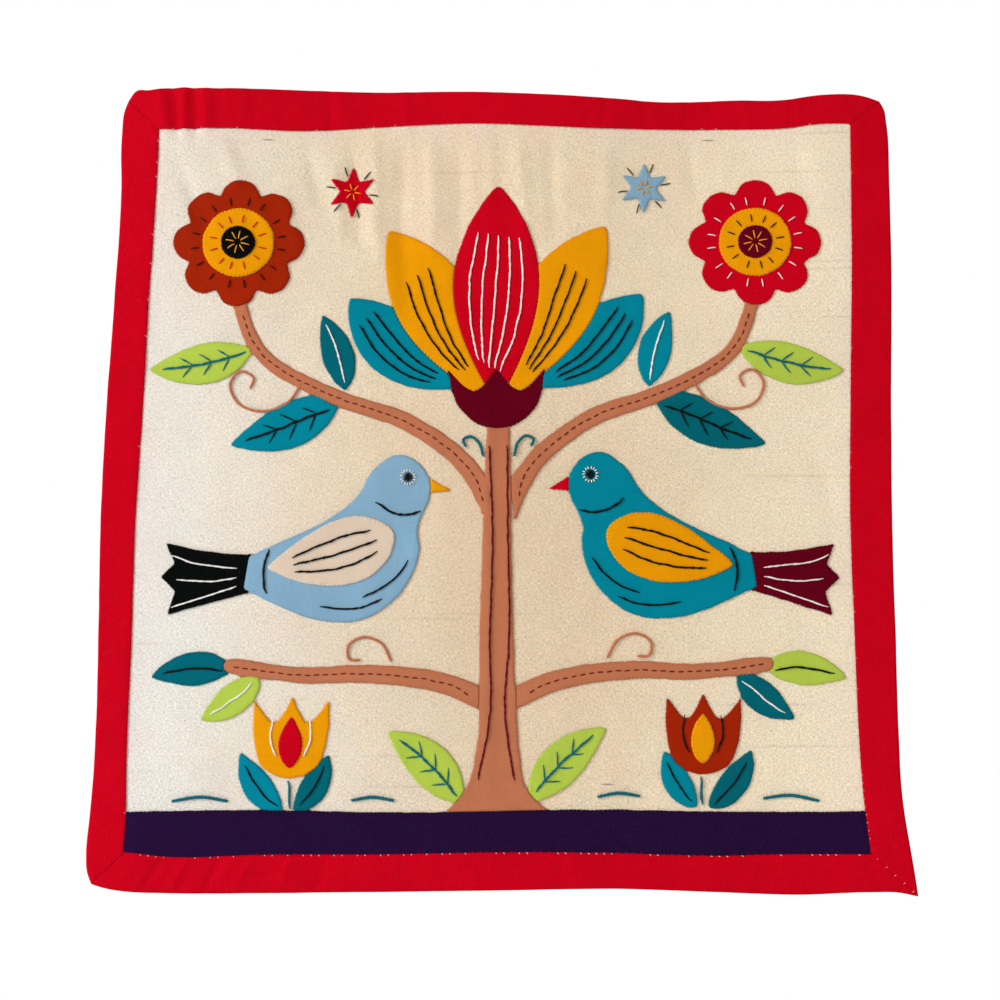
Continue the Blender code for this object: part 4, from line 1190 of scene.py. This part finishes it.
def slip_stitches(box):
    """Small stitches that hold the border down, one at each drawn-in place, and others across each mitre."""
    for side in EDGES:
        along = np.arange(8 * MM, SIDE_LENGTH - 8 * MM, sizes().slip_spacing)
        along = np.round(along / sizes().slip_spacing) * sizes().slip_spacing
        outer, inner = side_lines(side, along / SIDE_LENGTH)
        into = unit(outer - inner)
        ahead = unit(np.gradient(inner, axis=0))
        paths = over_edge(inner, into, ahead, SLIP_OVER_BAND if side == "bottom" else SLIP)
        often = 0.55 if side == "bottom" else 0.12
        if side == "right":
            often = np.where(inner[:, 1] < -0.385, 0.9, often)
        pale = np.random.default_rng(len(side)).uniform(0, 1, len(paths)) < often
        box.add("natural", paths[pale][:, 1:], BEHIND_RADIUS)
        box.add("red", paths[~pale], SEWING_RADIUS)
        back = between_lines(outer, inner, TURN_OVER)
        box.add("red", over_edge(back, -into, ahead, SLIP_BEHIND), BEHIND_RADIUS)
    for corner in OUTER_CORNERS:
        outer, inner = np.array(OUTER_CORNERS[corner]), np.array(INNER_CORNERS[corner])
        length = np.linalg.norm(inner - outer)
        share = np.arange(2.2 * MM, length - 0.5 * MM, 2.1 * MM) / length
        middle = outer + (inner - outer) * share[:, None]
        ahead = (inner - outer) / length
        across = turned_left(ahead)
        steps = np.array([-0.75, -0.3, 0.3, 0.75]) * MM
        flat = middle[:, None] + across * steps[:, None] + ahead * (0.25 * steps)[:, None]
        rise = (np.array([1.60, 1.74, 1.74, 1.60]) - 0.40 * share[:, None] ** 2) * MM
        pale = (corner == "bottom_right") & (np.arange(len(share)) % 3 == 1)
        box.add("natural", on_cloth(flat, rise)[pale], PALE_CROSS_RADIUS)
        box.add("red", on_cloth(flat, rise)[~pale], CROSS_RADIUS)


def between_lines(outer, inner, distance):
    return outer + (inner - outer) * (distance / BORDER_WIDTH)


# The stage

LOOKED_AT = Vector((0.0, 0.0, -0.240))
CAMERA_TILT = math.radians(6.0)
CAMERA_DISTANCE = 0.75
# As (name, place, size, power, colour), all turned towards one place
LIGHTS = (
    ("key", (-2.20, -1.25, 0.75), 0.9, 61.0, (1.0, 0.985, 0.96)),
    ("window", (-0.80, -0.40, -0.55), 0.7, 3.4, (0.44, 0.70, 1.0)),
    ("fill", (1.6, -1.8, -0.2), 1.6, 14.0, (1.0, 0.96, 0.90)),
    ("rear", (0.3, 1.3, 0.3), 1.2, 12.0, (1.0, 0.98, 0.95)),
)
LIT_AT = Vector((0, 0, -0.23))
FLOOR_REACH = 1.1
FLOOR_LEVEL = -1.0
SQUARE = ((-1, -1), (1, -1), (1, 1), (-1, 1))


def looking(name, data, place, target):
    """A camera or light in the scene, turned from its place to the target."""
    made = bpy.data.objects.new(name, data)
    made.location = place
    made.rotation_mode = "QUATERNION"
    made.rotation_quaternion = (target - made.location).to_track_quat("-Z", "Y")
    bpy.context.scene.collection.objects.link(made)
    return made


# Operators


class HANGING_OT_materials(bpy.types.Operator):
    """Makes the cloths and threads"""

    bl_idname = "hanging.materials"
    bl_label = "Make cloths and threads"

    def execute(self, context):
        natural_cotton()
        for slot in sorted({slot for _, _, slot in SEWN} | {"red"}):
            cotton(slot)
        for slot in HangingColours.__annotations__:
            thread(slot)
        return {"FINISHED"}


class HANGING_OT_ground(bpy.types.Operator):
    """Lays the natural ground cloth on its folds"""

    bl_idname = "hanging.ground"
    bl_label = "Lay the ground"

    def execute(self, context):
        add_ground()
        return {"FINISHED"}


class HANGING_OT_border(bpy.types.Operator):
    """Folds the four border strips over the ground's edge"""

    bl_idname = "hanging.border"
    bl_label = "Fold the border"

    def execute(self, context):
        for side in EDGES:
            add_border(side)
        return {"FINISHED"}


class HANGING_OT_sewn(bpy.types.Operator):
    """Lays the band and the cut pieces, each with its turned edge"""

    bl_idname = "hanging.sewn"
    bl_label = "Lay the cut pieces"

    def execute(self, context):
        for node, level, slot in SEWN:
            add_sewn(node, level, slot)
        return {"FINISHED"}


class HANGING_OT_sewing(bpy.types.Operator):
    """Sews the pieces and the border down with small stitches"""

    bl_idname = "hanging.sewing"
    bl_label = "Sew the pieces down"

    def execute(self, context):
        box = ThreadBox()
        for node, level, slot in SEWN:
            whip_stitches(box, node, level, slot)
        slip_stitches(box)
        box.make("sewing")
        return {"FINISHED"}


class HANGING_OT_embroidery(bpy.types.Operator):
    """Embroiders the lines on the pieces and on the ground"""

    bl_idname = "hanging.embroidery"
    bl_label = "Embroider the lines"

    def execute(self, context):
        box = ThreadBox()
        last_point = SIDE_POINTS - 1
        for start, slot, kind, width, across, first, last in RIBS:
            ends = first * last_point, last * last_point
            part = np.linspace(*ends, 13 if start == "branch" else 4).round().astype(int)
            for node in nodes_like(start):
                one, other = from_tip(node)
                for place in across:
                    line = (one * (1 + place) + other * (1 - place)) / 2
                    stem_line(box, slot, line[part], width, level_top(LEVELS[node]), kind)
        for start, slot, width, count in VEINS:
            for node in nodes_like(start):
                one, other = from_tip(node)
                middle = (one + other) / 2
                for share in np.linspace(0.42, 0.76, count):
                    i, j = round(share * last_point), round((share - 0.11) * last_point)
                    for side in (one, other):
                        end = middle[j] + 0.66 * (side[j] - middle[j])
                        stem_line(box, slot, [middle[i], end], width, level_top(LEVELS[node]), "stem")
        for right, left, kind, width, level, points in DRAWN:
            for slot, flip in ((right, (1, 1)), (left, (-1, 1))):
                line = hand_cut(np.array(points) * MM * flip)
                stem_line(box, slot, line, width, level_top(level), kind)
        for x, z, inner, outer, count, right, left, level in SPOKES:
            for slot, mirrored in ((right, False), (left, True)):
                spokes(box, slot, x, z, inner, outer, count, level_top(level), mirrored)
        box.make("embroidery")
        return {"FINISHED"}


class HANGING_OT_declare(bpy.types.Operator):
    """Does nothing: it declares no pieces"""

    bl_idname = "hanging.declare"
    bl_label = "Declare the sheet"

    def execute(self, context):
        return {"FINISHED"}


class HANGING_OT_stage(bpy.types.Operator):
    """Sets the camera, the soft lights and the pale floor"""

    bl_idname = "hanging.stage"
    bl_label = "Set the stage"

    def execute(self, context):
        scene = context.scene
        scene.view_settings.view_transform = "Standard"
        lens = bpy.data.cameras.new("camera")
        lens.lens, lens.sensor_width = 47.66, 36.0
        back = Vector((0, -math.cos(CAMERA_TILT), -math.sin(CAMERA_TILT))) * CAMERA_DISTANCE
        scene.camera = looking("camera", lens, LOOKED_AT + back, LOOKED_AT)
        for name, place, size, power, colour in LIGHTS:
            light = bpy.data.lights.new(name, "AREA")
            light.size, light.energy, light.color = size, power, colour
            looking(name, light, place, LIT_AT)
        world = bpy.data.worlds.new("studio")
        world.use_nodes = True
        scene.world = world
        nodes, links = world.node_tree.nodes, world.node_tree.links
        seen, lit = nodes["Background"], nodes.new("ShaderNodeBackground")
        for sky, colour, strength in ((seen, (1, 1, 1, 1), 1.0), (lit, (1.0, 0.98, 0.96, 1), 0.40)):
            sky.inputs["Color"].default_value = colour
            sky.inputs["Strength"].default_value = strength
        mix, path = nodes.new("ShaderNodeMixShader"), nodes.new("ShaderNodeLightPath")
        links.new(path.outputs["Is Camera Ray"], mix.inputs[0])
        links.new(lit.outputs[0], mix.inputs[1])
        links.new(seen.outputs[0], mix.inputs[2])
        links.new(mix.outputs[0], nodes["World Output"].inputs["Surface"])
        mesh = bpy.data.meshes.new("floor")
        corners = [(x * FLOOR_REACH, y * FLOOR_REACH, FLOOR_LEVEL) for x, y in SQUARE]
        mesh.from_pydata(corners, [], [(0, 1, 2, 3)])
        graph = Graph("floor_pale")
        graph.set(Base_Color=graph.mixed(graph.noise(3.0), (0.90, 0.90, 0.90, 1), (0.93, 0.93, 0.93, 1)))
        mesh.materials.append(graph.material)
        floor = bpy.data.objects.new("floor", mesh)
        scene.collection.objects.link(floor)
        return {"FINISHED"}


OPERATORS = (
    HANGING_OT_materials,
    HANGING_OT_ground,
    HANGING_OT_border,
    HANGING_OT_sewn,
    HANGING_OT_sewing,
    HANGING_OT_embroidery,
    HANGING_OT_declare,
    HANGING_OT_stage,
)


class HANGING_PT_panel(bpy.types.Panel):
    bl_label = "Applique wall hanging"
    bl_idname = "HANGING_PT_panel"
    bl_space_type = "VIEW_3D"
    bl_region_type = "UI"
    bl_category = "Hanging"

    def draw(self, context):
        for group in (context.scene.hanging_sizes, context.scene.hanging_colours):
            for name in type(group).__annotations__:
                self.layout.prop(group, name)
        for operator in OPERATORS:
            self.layout.operator(operator.bl_idname)


CLASSES = (HangingSizes, HangingColours, *OPERATORS, HANGING_PT_panel)


def register():
    for made in CLASSES:
        bpy.utils.register_class(made)
    bpy.types.Scene.hanging_sizes = PointerProperty(type=HangingSizes)
    bpy.types.Scene.hanging_colours = PointerProperty(type=HangingColours)


def unregister():
    del bpy.types.Scene.hanging_colours
    del bpy.types.Scene.hanging_sizes
    for made in reversed(CLASSES):
        bpy.utils.unregister_class(made)


def main():
    register()
    for operator in OPERATORS:
        call = getattr(bpy.ops.hanging, operator.bl_idname.split(".")[1])
        call()


if __name__ == "__main__":
    main()
